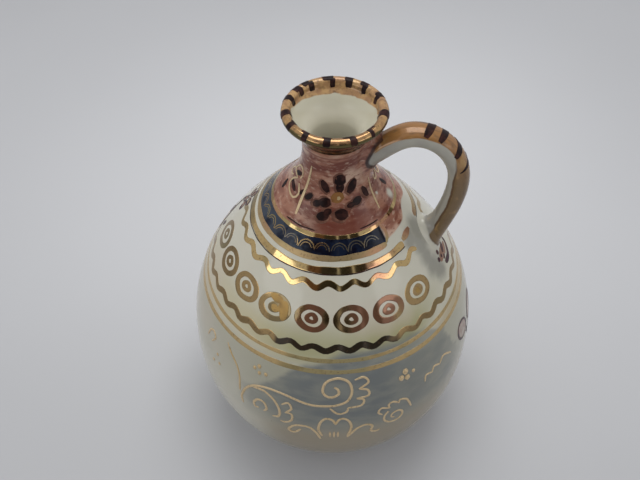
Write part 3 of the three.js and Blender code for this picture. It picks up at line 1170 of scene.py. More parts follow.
root_glaze = joint_glaze("root_joint_glaze", plum_wash, STRAP_TAN, 0.5, 0.24, ROOT_CREASE)
foot_glaze = joint_glaze("foot_joint_glaze", ivory_wash, STRAP_OLIVE, -0.5, 0.5, FOOT_CREASE)
root_joint = wiped_joint("root_joint_wiped", root_runs, 1, ROOT_REACHES, root_glaze)
foot_joint = wiped_joint("foot_joint_wiped", foot_runs, -1, FOOT_REACHES, foot_glaze)

# %% [markdown]
# ## Painting flat, then wrapping
#
# The ornament is drawn as on a sheet of paper: across is the way round the pot, up is the way up the
# wall, and each stroke is a chain of points with a brush width. A Geometry Nodes tree then repeats the
# drawing if it is a border, gives every line the body of a loaded brush, and wraps the sheet round the
# wall. One tree serves every band, wave, ring and scroll, so a change of brush needs one number only.
# It reads three guides: the wall's line, and a flat and a round brush face.

# %% Guides for the tree
FLAT_FACE = (  # height and width of the brush's mark; it reaches down into the glaze
    (1, -0.6), (1, 0.6), (1, 0.82), (0.7, 0.94), (0, 1),
    (-2, 0.8), (-2, -0.8), (0, -1), (0.7, -0.94), (1, -0.82),
)
ROUND_SIDES = 10


def chain(first, last, closed=False):
    """Edges that join the points from first to last in a row."""
    edges = [(k, k + 1) for k in range(first, last)]
    return edges + [(last, first)] if closed else edges


def guide(name, points, closed=False):
    """A line as an object that a tree can read; guides are removed at the end."""
    return new_object(name, points, chain(0, len(points) - 1, closed))


round_turns = [k * 2 * math.pi / ROUND_SIDES for k in range(ROUND_SIDES)]
wall_line = guide("wall_line", [(radius * MM, 0, height * MM) for radius, height in skin])
flat_face = guide("flat_face", [(height, across, 0) for height, across in FLAT_FACE], closed=True)
round_face = guide("round_face", [(math.cos(turn), math.sin(turn), 0) for turn in round_turns], closed=True)
print("guides:", [made.name for made in (wall_line, flat_face, round_face)])

# %% [markdown]
# ## Brush and paint as nodes
#
# A loaded brush leaves a ridge of paint. Curve to Mesh draws the brush face along each line, scaled by the
# width stored on the points. The tree ends with real geometry and its paint, because instances and node
# attributes would not reach other programs.

# %% Brush nodes


def new_tree(name, inputs):
    """A Geometry Nodes tree with named inputs; gives the tree, its inputs and their identifiers."""
    tree = bpy.data.node_groups.new(name, "GeometryNodeTree")
    identifiers = {}
    for label, kind in inputs.items():
        identifiers[label] = tree.interface.new_socket(label, in_out="INPUT", socket_type=kind).identifier
    tree.interface.new_socket("Painted", in_out="OUTPUT", socket_type="NodeSocketGeometry")
    return tree, add(tree, "NodeGroupInput").outputs, identifiers


def vector_of(**parts):
    """A vector from outputs and plain numbers."""
    return add(tree_of(*parts.values()), "ShaderNodeCombineXYZ", parts).outputs["Vector"]


def as_curve(tree, mesh):
    """The edges of a mesh as curves."""
    return add(tree, "GeometryNodeMeshToCurve", {"Mesh": mesh}).outputs["Curve"]


def line_of(tree, guide_object):
    """The curve of a guide."""
    return as_curve(tree, add(tree, "GeometryNodeObjectInfo", {"Object": guide_object}).outputs["Geometry"])


def loaded_brush(tree, curve, face, crown, normal):
    """Gives curves the body of a brush stroke, as wide as the attribute brush says."""
    aimed = add(tree, "GeometryNodeSetCurveNormal", {"Curve": curve, "Normal": normal}, mode="FREE")
    squeeze = vector_of(X=crown, Y=1.0, Z=1.0)
    profile = add(tree, "GeometryNodeTransform", {"Geometry": line_of(tree, face), "Scale": squeeze})
    width = add(tree, "GeometryNodeInputNamedAttribute", {"Name": "brush"}, data_type="FLOAT")
    stroke = add(tree, "GeometryNodeCurveToMesh", {
        "Curve": aimed.outputs["Curve"],
        "Profile Curve": profile.outputs["Geometry"],
        "Scale": width.outputs["Attribute"],
        "Fill Caps": True,
    })
    return stroke.outputs["Mesh"]


def painted_end(tree, mesh, paint):
    """The end of a paint tree: real geometry, smooth shading and its paint."""
    mesh = add(tree, "GeometryNodeRealizeInstances", {"Geometry": mesh}).outputs["Geometry"]
    mesh = add(tree, "GeometryNodeSetShadeSmooth", {"Geometry": mesh}).outputs["Geometry"]
    done = add(tree, "GeometryNodeSetMaterial", {"Geometry": mesh, "Material": paint}).outputs["Geometry"]
    add(tree, "NodeGroupOutput", {"Painted": done})


print("brush face of", len(FLAT_FACE), "points, round face of", ROUND_SIDES)

# %% [markdown]
# ## Copies by a shaking hand
#
# A border is one motif, painted again and again, and no hand repeats itself. Copies of a drawing are set in
# a row, turned and resized at random, and shaken by noise. A fixed seed keeps every copy as it is.

# %% Copies and shaking
SHAKE_SCALE = 130.0  # shakes per metre
SHAKE_REACH = 4.0  # noise seldom leaves its middle quarter, so this much of it makes one wobble


def at_random(tree, low, high, seed):
    """A number between two others, drawn anew for each copy."""
    made = add(tree, "FunctionNodeRandomValue", {"Seed": seed}, data_type="FLOAT")
    ends = {socket.identifier: socket for socket in made.inputs}
    tree.links.new(low, ends["Min_001"])
    tree.links.new(high, ends["Max_001"])
    return next(socket for socket in made.outputs if socket.identifier == "Value_001")


def copied(tree, inputs):
    """Copies of the drawing in a row, each a little turned and resized."""
    row = add(tree, "GeometryNodeMeshLine", {
        "Count": inputs["Copies"],
        "Start Location": inputs["First place"],
        "Offset": vector_of(X=inputs["Spacing"]),
    }, mode="OFFSET")
    turn = at_random(tree, times(inputs["Turn"], -1.0), inputs["Turn"], inputs["Seed"])
    smaller = sum_of("SUBTRACT", 1.0, inputs["Spread"])
    larger = sum_of("ADD", 1.0, inputs["Spread"])
    size = at_random(tree, smaller, larger, inputs["Seed"])
    spin = add(tree, "FunctionNodeEulerToRotation", {"Euler": vector_of(Z=turn)})
    copies = add(tree, "GeometryNodeInstanceOnPoints", {
        "Points": row.outputs["Mesh"],
        "Instance": inputs["Drawing"],
        "Rotation": spin.outputs["Rotation"],
        "Scale": vector_of(X=size, Y=size, Z=1.0),
    })
    real = add(tree, "GeometryNodeRealizeInstances", {"Geometry": copies.outputs["Instances"]})
    return real.outputs["Geometry"]


def shaken(tree, mesh, inputs):
    """Points moved about on the sheet by noise, as by an unsteady hand."""
    shake = {"Scale": SHAKE_SCALE, "Detail": 3.0, "W": inputs["Seed"]}
    noise = add(tree, "ShaderNodeTexNoise", shake, noise_dimensions="4D").outputs["Color"]
    reach = times(inputs["Wobble"], SHAKE_REACH)
    centred = vector_sum("SUBTRACT", noise, (0.5, 0.5, 0.5))
    offset = vector_sum("MULTIPLY", centred, vector_of(X=reach, Y=reach))
    return add(tree, "GeometryNodeSetPosition", {"Geometry": mesh, "Offset": offset}).outputs["Geometry"]


print(f"noise of {SHAKE_SCALE:.0f} shakes per metre moves the points")

# %% [markdown]
# ## The wrapping tree
#
# Wrapping is the banding wheel in reverse: across becomes an angle, and up becomes a way along the wall's
# line, so the paint sits on the wall wherever it bends. One lift for the whole drawing lets a later paint
# lie over an earlier one, as it does on the jug.

# %% The wrapping tree
BRUSH_INPUTS = {
    "Drawing": "NodeSocketGeometry",
    "Wall line": "NodeSocketObject",
    "Sheet radius": "NodeSocketFloat",
    "First place": "NodeSocketVector",
    "Copies": "NodeSocketInt",
    "Spacing": "NodeSocketFloat",
    "Turn": "NodeSocketFloat",
    "Spread": "NodeSocketFloat",
    "Wobble": "NodeSocketFloat",
    "Brush face": "NodeSocketObject",
    "Crown": "NodeSocketFloat",
    "Lift": "NodeSocketFloat",
    "Seed": "NodeSocketInt",
    "Paint": "NodeSocketMaterial",
}


def wrapped(tree, mesh, inputs):
    """Bends the flat sheet round the wall: across becomes an angle, up a way along the wall's line."""
    flat = parts_of(add(tree, "GeometryNodeInputPosition").outputs[0])
    on_line = add(tree, "GeometryNodeSampleCurve", {
        "Curves": line_of(tree, inputs["Wall line"]),
        "Length": flat["Y"],
    }, mode="LENGTH", use_all_curves=True).outputs
    place, way = parts_of(on_line["Position"]), parts_of(on_line["Tangent"])
    lift = sum_of("ADD", flat["Z"], inputs["Lift"])
    radius = sum_of("MULTIPLY_ADD", way["Z"], lift, place["X"])
    angle = sum_of("DIVIDE", flat["X"], inputs["Sheet radius"])
    bent = vector_of(
        X=times(radius, sum_of("COSINE", angle)),
        Y=times(radius, sum_of("SINE", angle)),
        Z=sum_of("SUBTRACT", place["Z"], times(way["X"], lift)),
    )
    return add(tree, "GeometryNodeSetPosition", {"Geometry": mesh, "Position": bent}).outputs["Geometry"]


def wrapping_tree():
    """Copies, shakes, paints and wraps a drawing."""
    tree, inputs, identifiers = new_tree("painted_round_the_jug", BRUSH_INPUTS)
    curve = as_curve(tree, shaken(tree, copied(tree, inputs), inputs))
    stroke = loaded_brush(tree, curve, inputs["Brush face"], inputs["Crown"], (0, 0, 1))
    painted_end(tree, wrapped(tree, stroke, inputs), inputs["Paint"])
    return tree, identifiers


WRAPPING = wrapping_tree()
print("tree inputs:", list(BRUSH_INPUTS))

# %% [markdown]
# ## Strokes
#
# A stroke is kept as its points, the half width of the brush at each of them, and whether it closes on
# itself. A few helpers cover everything on the jug: a line through chosen spots, a closed loop, a dab and
# a curl. A stroke swells from a thin tip, because a round brush does.

# %% Stroke helpers
STROKE_STEP = 1.0  # mm between points of a stroke


def smooth_line(spots, step_length=STROKE_STEP):
    """A flowing line through the spots, as a chain of close points."""
    spots = np.array(spots, float)
    ends = np.vstack([2 * spots[0] - spots[1], spots, 2 * spots[-1] - spots[-2]])
    pieces = []
    for a, b, c, d in zip(ends, ends[1:], ends[2:], ends[3:]):
        count = max(2, int(np.hypot(*(c - b)) / step_length))
        t = np.arange(count)[:, None] / count
        square, cube = 2 * a - 5 * b + 4 * c - d, 3 * b - a - 3 * c + d
        pieces.append(0.5 * (2 * b + (c - a) * t + square * t**2 + cube * t**3))
    return np.vstack(pieces + [spots[-1:]])


def brushed(points, half, tip=0.4, ramp=2.5):
    """A stroke along points, half that wide at each side and thinner over a short ramp at both ends."""
    run = run_along(points)
    to_end = np.minimum(run, run[-1] - run)
    swell = tip + (1 - tip) * np.sin(np.clip(to_end / ramp, 0, 1) * math.pi / 2)
    return points, half * swell, False


def line(spots, half, tip=0.4, ramp=2.5, step_length=STROKE_STEP):
    """A stroke through spots on the sheet."""
    return brushed(smooth_line(spots, step_length), half, tip, ramp)


def loop(centre, across, up, half, count=40, squash=0.0):
    """A closed oval; squash pulls its top to a drop's point."""
    turn = np.arange(count) * 2 * math.pi / count
    pull = 1 + squash * np.maximum(np.sin(turn), 0) ** 3
    points = np.stack([centre[0] + across * np.cos(turn), centre[1] + up * np.sin(turn) * pull], 1)
    return points, np.full(count, half) * (1 + 0.12 * np.sin(turn * 2 + 0.7)), True


def dab(centre, length, half, degrees, tip=0.25):
    """One press of the brush: a short fat stroke, pointed at both ends."""
    share = np.linspace(-1, 1, 9)
    points = np.array(centre) + share[:, None] * leaning(degrees, length / 2)
    return points, half * np.maximum(np.sqrt(1 - share**2), tip), False


def curl(centre, inner, outer, start, turns, half):
    """A spiral that opens from the inner to the outer radius, starting at an angle in degrees."""
    count = int(abs(turns) * math.pi * (inner + outer) / STROKE_STEP) + 8
    share = np.linspace(0, 1, count)
    turn = math.radians(start) + share * turns * 2 * math.pi
    radius = inner + (outer - inner) * share
    points = np.stack([centre[0] + radius * np.cos(turn), centre[1] + radius * np.sin(turn)], 1)
    return points, half * (0.55 + 0.45 * np.minimum(share * 3, 1)), False


print("a dab is", len(dab((0, 0), 1, 1, 0)[0]), "points, a ring", len(loop((0, 0), 1, 1, 1)[0]))

# %% [markdown]
# ## From the pot to the sheet
#
# The painter thinks in places on the pot: how far round, how high up. A sheet turns such a place into
# a spot on flat paper, so strokes can be given by what one measures on the jug. Rows of dabs are kept in
# tables, and one helper reads them all.

# %% Sheets


def sheet(radius):
    """Gives a function that puts an azimuth and a height on the flat sheet of that radius."""
    return lambda azimuth, height: np.array((math.radians(azimuth) * radius, run_at(height)))


def traced(places, place_of, half, tip=0.4, ramp=2.5):
    """A stroke through places on the pot, which place_of puts on its sheet."""
    return line([place_of(*place) for place in places], half, tip, ramp)


def dabs(rows, place_of, tip=0.25):
    """One dab for every row: two numbers for place_of, then length, half width and lean in degrees."""
    return [dab(place_of(first, second), *shape, tip) for first, second, *shape in rows]


print("the widest ring lies", round(float(sheet(1.0)(0, BELLY_HEIGHT)[1]), 1), "mm up the wall")

# %% [markdown]
# ## Painting
#
# A drawing becomes a mesh of bare edges with the brush widths on its points. The tree is run on it once,
# its result is kept as a plain mesh, and the modifier goes, so what is left is an ordinary object. Every
# painted piece is noted with the slot that its finish belongs to.

# %% The painting helper
painted_pieces = []


def drawing(name, strokes):
    """Puts strokes on one flat sheet, in metres, with the brush's half width on every point."""
    points, edges, widths = [], [], []
    for spots, halves, closed in strokes:
        first = len(points)
        points.extend((x * MM, y * MM, 0) for x, y in spots)
        widths.extend(halves * MM)
        edges.extend(chain(first, len(points) - 1, closed))
    made = new_object(name, points, edges)
    note(made, "brush", widths)
    return made


def settled(made, tree, identifiers, values):
    """Runs a tree on an object and keeps the result as its plain mesh."""
    modifier = made.modifiers.new("paint", "NODES")
    modifier.node_group = tree
    for label, value in values.items():
        modifier[identifiers[label]] = value
    graph = bpy.context.evaluated_depsgraph_get()
    result = bpy.data.meshes.new_from_object(made.evaluated_get(graph), depsgraph=graph)
    made.modifiers.remove(modifier)
    flat = made.data
    made.data = result
    result.name = made.name
    bpy.data.meshes.remove(flat)
    print(f"{made.name}: {len(result.vertices)} points, {len(result.polygons)} faces")
    return made


def paint(
    name, strokes, finish, sheet_radius, slot="belly_glaze", face=flat_face, crown=0.03, lift=0.0,
    first=(0, 0), copies=1, spacing=0.0, turn=0.0, spread=0.0, wobble=0.15, seed=1,
):
    """Draws strokes, repeats them round the pot if asked, wraps them on and notes their slot.

    Spacing and turn are in degrees, the first place, the lift and the wobble in millimetres.
    """
    values = {
        "Wall line": wall_line,
        "Sheet radius": sheet_radius * MM,
        "First place": (first[0] * MM, first[1] * MM, 0),
        "Copies": copies,
        "Spacing": math.radians(spacing) * sheet_radius * MM,
        "Turn": math.radians(turn),
        "Spread": spread,
        "Wobble": wobble * MM,
        "Brush face": face,
        "Crown": crown,
        "Lift": lift * MM,
        "Seed": seed,
        "Paint": finish,
    }
    painted_pieces.append((settled(drawing(name, strokes), *WRAPPING, values), slot))


print("nothing painted yet:", painted_pieces)

# %% [markdown]
# ## Gold, plum and ochre paint
#
# Lustre is a film of real metal, fired on last. It is thin and uneven, so it turns from gold to copper and
# olive, and it shines as metal does. The plum, brown and pink are ordinary glaze paints and shine little.
# Both kinds get their unevenness from noise on Object coordinates, so that it stays on the pot.

# %% Paint recipes
TONED_HALF = 7  # degrees to each side of a toned place: worn film, and on the wave painted reflection
TONED_SOFT = 3
TONED_DRIFT = 24
TONED_METAL = -0.5  # how much less metallic a toned place is
PAINT_GLOSS = 0.12


def toned_places(place, thin):
    """Amounts and tones for given azimuths: worn film, and on the lower wave a painted reflection."""
    turn = shaken_by(angle_of(axes_of(place)), cloud_of(place, 90, 2), TONED_DRIFT)
    return [
        (between(turn, middle - TONED_HALF, middle + TONED_HALF, TONED_SOFT), tone) for middle, tone in thin
    ]


def gold_lustre(name, tones, roughness, metal=1.0, thin=()):
    """Metal film that wanders between three tones and shows another tone at each azimuth in thin."""
    material, place = glazed(name, roughness, 0.04)
    first, second, third = tones
    toned = toned_places(place, thin) if thin else []
    colour = laid(
        first,
        (step(cloud_of(place, 42, 2), 0.56, 0.72), second),
        (step(cloud_of(place, 75, 3), 0.5, 0.72, 0, 0.8), third),
        *toned,
        (step(cloud_of(place, 1100, 2), 0.55, 0.75, 0, 0.6), UMBER),
    )
    # less metallic where the tone changes: worn film, and on the wave painted reflection
    off_tone = 0.0
    for amount, _ in toned:
        off_tone = sum_of("MAXIMUM", off_tone, amount)
    if toned:
        metal = sum_of("MULTIPLY_ADD", off_tone, TONED_METAL, metal)
    return fired(material, {"Base Color": colour, "Metallic": metal}, cloud_of(place, 500, 3), 0.15, 0.04)


def glaze_paint(name, colour, thin, roughness):
    """Opaque glaze paint that thins towards another tone in places."""
    material, place = glazed(name, roughness)
    tone = layer(step(cloud_of(place, 330, 4), 0.42, 0.72), colour, thin)
    inputs = {"Base Color": tone, "Specular IOR Level": PAINT_GLOSS}
    return fired(material, inputs, cloud_of(place, 420, 3), 0.3, 0.12)


print(f"a worn place is {2 * TONED_HALF} degrees wide")

# %% [markdown]
# ## Mixing the paints
#
# Every paint is a recipe with its own tones. Bands are the brightest gold. The rings, the wave and the
# scallops are thinner. The rings and the scallops turn reddish or dark where the film wore off, at places
# measured on the jug. Across the front the lower wave is painted near black, as a painted reflection of the
# dark gap in the tent. The trailed lines are gilded clay, so they are paler and less metallic.

# %% Paints
GOLD = (0.54, 0.39, 0.18)
COPPER = (0.42, 0.22, 0.13)
OLIVE = (0.30, 0.245, 0.115)
BRASS = (0.36, 0.25, 0.12)
PALE_GOLD = (0.66, 0.50, 0.29)
DULL_TONE = (0.42, 0.30, 0.15)
SLIP_TONE = (0.37, 0.235, 0.075)
RUSSET = (0.22, 0.105, 0.060)
DRAB = (0.19, 0.14, 0.062)
GAP_REFLECTION_TONE = (0.045, 0.034, 0.022)
WORN_RINGS = (  # azimuth and tone
    (-111, DRAB), (-97, RUSSET), (-69, RUSSET), (-57, RUSSET), (83, RUSSET), (111, DRAB), (123, RUSSET)
)
WORN_BELLY = [(azimuth, OLIVE) for azimuth in (-92, -78)]
# painted reflection: the lower wave is near black across the front, where it would mirror the dark gap
WAVE_PAINTED_REFLECTION = [(azimuth, GAP_REFLECTION_TONE) for azimuth in range(-104, -60, 10)]
WORN_SCALLOPS = [(azimuth, IRON) for azimuth in (-124, -82, -68, -54, -42)]

BAND_GOLD = gold_lustre("band_gold", (GOLD, COPPER, OLIVE), 0.06)
RING_GOLD = gold_lustre("ring_gold", (BRASS, OLIVE, BRASS), 0.07, thin=WORN_RINGS)
DULL_GOLD = gold_lustre("dull_gold", (DULL_TONE, COPPER, OLIVE), 0.36, 0.7)
BELLY_GOLD = gold_lustre("belly_gold", (GOLD, OLIVE, GOLD), 0.22, 0.6, WORN_BELLY)
WAVE_GOLD = gold_lustre("wave_gold", (BRASS, OLIVE, BRASS), 0.07, thin=WAVE_PAINTED_REFLECTION)
SLIP_GOLD = gold_lustre("slip_gold", (SLIP_TONE, BRASS, UMBER), 0.36, 0.7)
TRAILED_GOLD = gold_lustre("trailed_gold", (PALE_GOLD, GOLD, PALE_GOLD), 0.34, 0.35)
SCALLOP_GOLD = gold_lustre("scallop_gold", (BRASS, OLIVE, BRASS), 0.14, thin=WORN_SCALLOPS)
PETAL_PLUM = glaze_paint("petal_plum", (0.014, 0.006, 0.006), (0.055, 0.020, 0.016), 0.3)
SMEAR_BROWN = glaze_paint("smear_brown", (0.13, 0.055, 0.038), (0.24, 0.12, 0.08), 0.3)
PINK_FLUSH = glaze_paint("pink_flush", (0.27, 0.15, 0.10), (0.40, 0.28, 0.21), 0.2)
PALE_FLUSH = glaze_paint("pale_flush", (0.36, 0.27, 0.23), (0.47, 0.42, 0.36), 0.2)
EYE_OCHRE = glaze_paint("eye_ochre", (0.27, 0.13, 0.045), (0.16, 0.06, 0.03), 0.25)
SPRAY_PLUM = glaze_paint("spray_plum", (0.060, 0.028, 0.034), (0.14, 0.07, 0.06), 0.2)

# %% [markdown]
# ## Bands and waves
#
# Holding a loaded brush still while the pot turns on a banding wheel gives an even ring. Letting the hand
# rise and fall gives a wave. The broad band and the upper wave stop short of the handle; the others go
# all the way round and overlap a little where the brush came back to its start.

# %% Gold bands
BAND_SHEET = 46.0  # radius of the sheet in millimetres, near that of the wall behind it
HAND_SEED = 11
DRIFT = 0.09  # how far a steady hand strays, in millimetres
ALL_ROUND = (92.0, 455.0)  # azimuths where a band starts and ends
BROAD_BAND = (-1.0, 331.0)
UPPER_WAVE = {"pitch": 15.2, "crest": -92.9, "rise": 1.1}  # degrees, azimuth of one crest, millimetres
LOWER_WAVE = {"pitch": 360 / 34, "crest": -83.2, "rise": 0.95}
hand = np.random.default_rng(HAND_SEED)


def ring_points(height, start, end, pitch=0.0, crest=0.0, rise=0.0):
    """A band's middle line between two azimuths; a wavy one has a pitch in degrees, a crest and a rise."""
    count = int(math.radians(end - start) * BAND_SHEET / STROKE_STEP)
    around = np.linspace(start, end, count)
    up = run_at(height) + sum(
        hand.uniform(-DRIFT, DRIFT) * np.sin(np.radians(around) * turns + hand.uniform(0, 6))
        for turns in (1, 2, 3, 5)
    )
    if pitch:
        up = up + rise * np.cos((around - crest) / pitch * 2 * math.pi)
    return np.stack([np.radians(around) * BAND_SHEET, up], 1)


def band(height, half, start, end, **waves):
    """One band as a stroke on its sheet, a little wider and narrower by turns."""
    points, widths, closed = brushed(ring_points(height, start, end, **waves), half, 0.5, 2.0)
    around = points[:, 0] / BAND_SHEET
    return points, widths * (1 + 0.08 * np.sin(around * 7 + height) + 0.06 * np.sin(around * 19)), closed


neck_bands = [band(140.6, 0.85, *ALL_ROUND), band(130.5, 1.5, *BROAD_BAND)]
belly_bands = [band(100.4, 0.9, *ALL_ROUND), band(95.9, 1.1, *ALL_ROUND)]
dull_band = band(134.1, 1.2, 43.0, 318.0)
upper_wave = band(126.0, 1.25, 7.0, 338.0, **UPPER_WAVE)
lower_wave = band(105.2, 1.3, 88.0, 450.0, **LOWER_WAVE)
paint("gold_bands", neck_bands, BAND_GOLD, BAND_SHEET, wobble=0.1)
paint("gold_belly_bands", belly_bands, BELLY_GOLD, BAND_SHEET, wobble=0.1)
paint("dull_band", [dull_band], DULL_GOLD, BAND_SHEET)
paint("gold_upper_wave", [upper_wave], BAND_GOLD, BAND_SHEET, wobble=0.35, seed=4)
paint("gold_lower_wave", [lower_wave], WAVE_GOLD, BAND_SHEET, wobble=0.35, seed=4)

# %% [markdown]
# ## The border of rings
#
# Between the two waves runs a border of ring motifs, each a ring with a small drop-shaped ring inside.
# They are one drawing, repeated round the shoulder by the tree. The copies are turned, resized and shaken
# a little, so no two are alike, and the border leaves out the place where the handle lands. The brush
# slipped on two of them, and a few dabs of thicker gold show it.

# %% Ring border
RING_SHEET = 45.9
RING_HEIGHT = 115.3
RING_STEP = 19.7  # degrees
RING_ROWS = (("gold_rings_front", -174.8, 8, 6), ("gold_rings_back", 42.0, 6, 7))  # azimuth, copies, seed
SMEARED_RING = -115.7  # azimuths of the two slips
SPOTTED_RING = -36.9
SMEARS = (  # across and up from that ring's middle, length, half width and lean in degrees
    (0.1, 3.8, 7.0, 1.7, -10), (4.4, 0.1, 8.4, 1.9, 93),
    (0.2, -0.4, 3.6, 1.5, -30), (2.7, 1.2, 5.0, 1.1, 75),
)

on_ring = sheet(RING_SHEET)
ring_motif = [loop((0, 0), 5.9, 4.7, 1.3), loop((0, -0.1), 1.9, 1.4, 0.95, 24, 0.3)]
for name, azimuth, copies, seed in RING_ROWS:
    paint(
        name, ring_motif, RING_GOLD, RING_SHEET, first=on_ring(azimuth, RING_HEIGHT), copies=copies,
        spacing=RING_STEP, turn=14, spread=0.05, wobble=0.35, seed=seed,
    )
slips = dabs(SMEARS, lambda across, up: on_ring(SMEARED_RING, RING_HEIGHT) + (across, up))
slips.append(dab(on_ring(SPOTTED_RING, RING_HEIGHT), 2.4, 1.4, 20))
paint("gold_ring_slips", slips, SLIP_GOLD, RING_SHEET, lift=0.02, wobble=0.3, seed=21)

# %% [markdown]
# ## Scallops on the cobalt
#
# Small double arches of gold stand side by side on the cobalt band, from one side of the handle round to
# the other. One arch is drawn and the tree sets the rest, with more play in size than the rings have, as
# the painter did them fast and with a fine brush.

# %% Scallops on the cobalt
SCALLOP_SHEET = 27.6
SCALLOP_STEP = 13.3  # degrees
SCALLOPS = 20
FIRST_SCALLOP = (53, 137.6)  # azimuth and height
OUTER_ARCH = ((-3.1, -1.7), (-2.4, 0.3), (-0.8, 1.4), (0.9, 1.4), (2.5, 0.2), (3.1, -1.7))  # across, up
INNER_ARCH = ((-2.2, -1.5), (-1.5, -0.1), (-0.2, 0.5), (1.2, 0.1), (2.0, -1.2))

on_cobalt = sheet(SCALLOP_SHEET)
scallop = [line(OUTER_ARCH, 0.24, 0.7), line(INNER_ARCH, 0.18, 0.7)]
paint(
    "gold_scallops", scallop, SCALLOP_GOLD, SCALLOP_SHEET, crown=0.12, first=on_cobalt(*FIRST_SCALLOP),
    copies=SCALLOPS, spacing=SCALLOP_STEP, turn=8, spread=0.1, wobble=0.3, seed=3,
)

# %% [markdown]
# ## Band ends beside the handle
#
# Where the cobalt stops on both sides of the handle, a short curved stroke of dull gold covers its raw end,
# and one loose dab lies below it. The two strokes are one line and its mirror image.

# %% Band ends beside the handle
END_LINE = ((40, 140.4), (37.8, 138.4), (38, 136.2), (42, 134.3))  # azimuths and heights
LOOSE_DAB = (-22.0, 131.6, 5.8, 1.6, 4)  # azimuth, height, length, half width and lean

end_lines = dabs([LOOSE_DAB], on_cobalt, 0.5)
for side in (-1, 1):
    end_lines.append(traced([(side * azimuth, height) for azimuth, height in END_LINE], on_cobalt, 0.7))
paint("gold_band_ends", end_lines, DULL_GOLD, SCALLOP_SHEET, crown=0.08, lift=0.02)

# %% [markdown]
# ## Flowers on the neck
#
# Each petal is two or three presses of a full round brush, pulled away from the flower's middle. The dark
# plum stands on the paler wash, with a brown smear below it, an ochre eye and a small ring. The flower is
# one drawing that is set down twice, front and back, as the painter would.

# %% Neck flowers
NECK_SHEET = 16.5
ON_THE_NECK = {"slot": "neck_glaze", "copies": 2, "spacing": 176}
FLOWER_MIDDLE = (-80, 152.5)  # azimuth and height, as are the places below
PETALS = (  # across and up from the flower's middle, length, half width and lean in degrees
    (1.2, 7.6, 5.0, 2.6, 0), (1.0, 4.4, 4.2, 1.9, 90),
    (-5.8, 4.4, 5.6, 1.6, 128), (6.8, 3.8, 6.2, 1.9, 42),
    (-5.0, -1.8, 4.4, 2.1, 10), (-8.0, -2.8, 3.4, 1.4, 30),
    (7.4, -2.6, 4.4, 1.6, 15), (4.6, -3.4, 2.8, 1.1, 20),
    (-5.2, -7.4, 4.0, 1.8, 40), (-3.9, -5.2, 3.0, 1.3, 60),
    (0.8, -6.6, 4.4, 2.4, 0),
    (-11.8, -1.4, 3.8, 1.2, 45), (12.2, -0.8, 4.8, 1.35, 105),
)
LEAVES = (  # half width and ends of single presses
    (1.0, ((-164.4, 151.1), (-145.2, 149.4))), (1.1, ((-164.7, 154.7), (-148.4, 156.3))),
    (1.0, ((-169.3, 145.3), (-173.5, 148.6))), (0.9, ((-135.8, 150.1), (-132.4, 152.2))),
)

on_neck = sheet(NECK_SHEET)
middle = on_neck(*FLOWER_MIDDLE)


def petals(shift=(0.0, 0.0), growth=0.0):
    """The presses of the flower; a shift and some growth give the paler smear below each of them."""
    grown = [(x, y, length + 2 * growth, half + growth, lean) for x, y, length, half, lean in PETALS]
    return dabs(grown, lambda across, up: middle + shift + (across, up), 0.45)


dark = petals() + [traced(places, on_neck, half, 0.5) for half, places in LEAVES]
eye = [dab(middle, 5.4, 2.2, 15, 0.45)]
eye_ring = [loop(middle + (0.3, 0), 1.5, 1.25, 0.25, 20)]
smears = petals((-0.3, -0.2), 0.55)
paint("petal_smears", smears, SMEAR_BROWN, NECK_SHEET, wobble=0.5, seed=9, **ON_THE_NECK)
paint("plum_petals", dark, PETAL_PLUM, NECK_SHEET, lift=0.05, wobble=0.45, seed=8, **ON_THE_NECK)
paint("ochre_eyes", eye, EYE_OCHRE, NECK_SHEET, lift=0.08, wobble=0.5, **ON_THE_NECK)
paint("eye_rings", eye_ring, PETAL_PLUM, NECK_SHEET, crown=0.1, lift=0.1, **ON_THE_NECK)

# %% [markdown]
# ## Gold lines and dark edges
#
# Thin gold loops outline the leaves and slanting strokes part the flowers, put on last, over everything.
# A hairline of the dark plum follows the broad band and stretches of the top one, left by a second pass of
# the brush. All are lines through places measured on the jug.

# %% Gold lines and dark edges
LOOPS = (  # azimuths and heights
    (
        (-153.8, 153.8), (-163.0, 151.6), (-164.0, 149.4), (-153.6, 148.0),
        (-142.5, 147.7), (-137.8, 149.8), (-145.4, 152.8),
    ),
    ((-168.3, 152.2), (-176.5, 150.9), (-184.0, 151.6), (-175.7, 154.3), (-165.8, 154.0)),
    ((-155.7, 153.8), (-172.0, 154.6), (-161.5, 158.2), (-149.3, 158.5), (-145.1, 156.2), (-148.4, 154.5)),
)
SLANTS = (  # half width and places
    (0.6, ((-127.9, 163.2), (-129.4, 158.2), (-130.3, 152.9), (-129.6, 148.3), (-128.2, 144.2))),
    (0.4, ((-19.5, 155.3), (-25.6, 151.0), (-28.6, 147.6), (-30.2, 144.2))),
)
EDGE_HEIGHT = 141.9
DARK_EDGES = ((-136, -100), (-60, -36), (70, 110), (130, 160))  # azimuths between which an edge runs

gilding = [dab(middle + (0.3, 0), 1.9, 0.8, 10, 0.5)]
gilding += [traced(places, on_neck, 0.42, 0.7) for places in LOOPS]
gilding += [traced(places, on_neck, half, 0.5, 6) for half, places in SLANTS]
paint("gold_neck_lines", gilding, TRAILED_GOLD, NECK_SHEET, crown=0.1, lift=0.1, seed=2, **ON_THE_NECK)
edges = [band(129.3, 0.22, *BROAD_BAND)]
for start, end in DARK_EDGES:
    places = [(azimuth, EDGE_HEIGHT) for azimuth in range(start, end, 3)]
    edges.append(traced(places, sheet(BAND_SHEET), 0.28))
paint("dark_edges", edges, PETAL_PLUM, BAND_SHEET, "neck_glaze", crown=0.1, lift=0.03, wobble=0.2, seed=5)

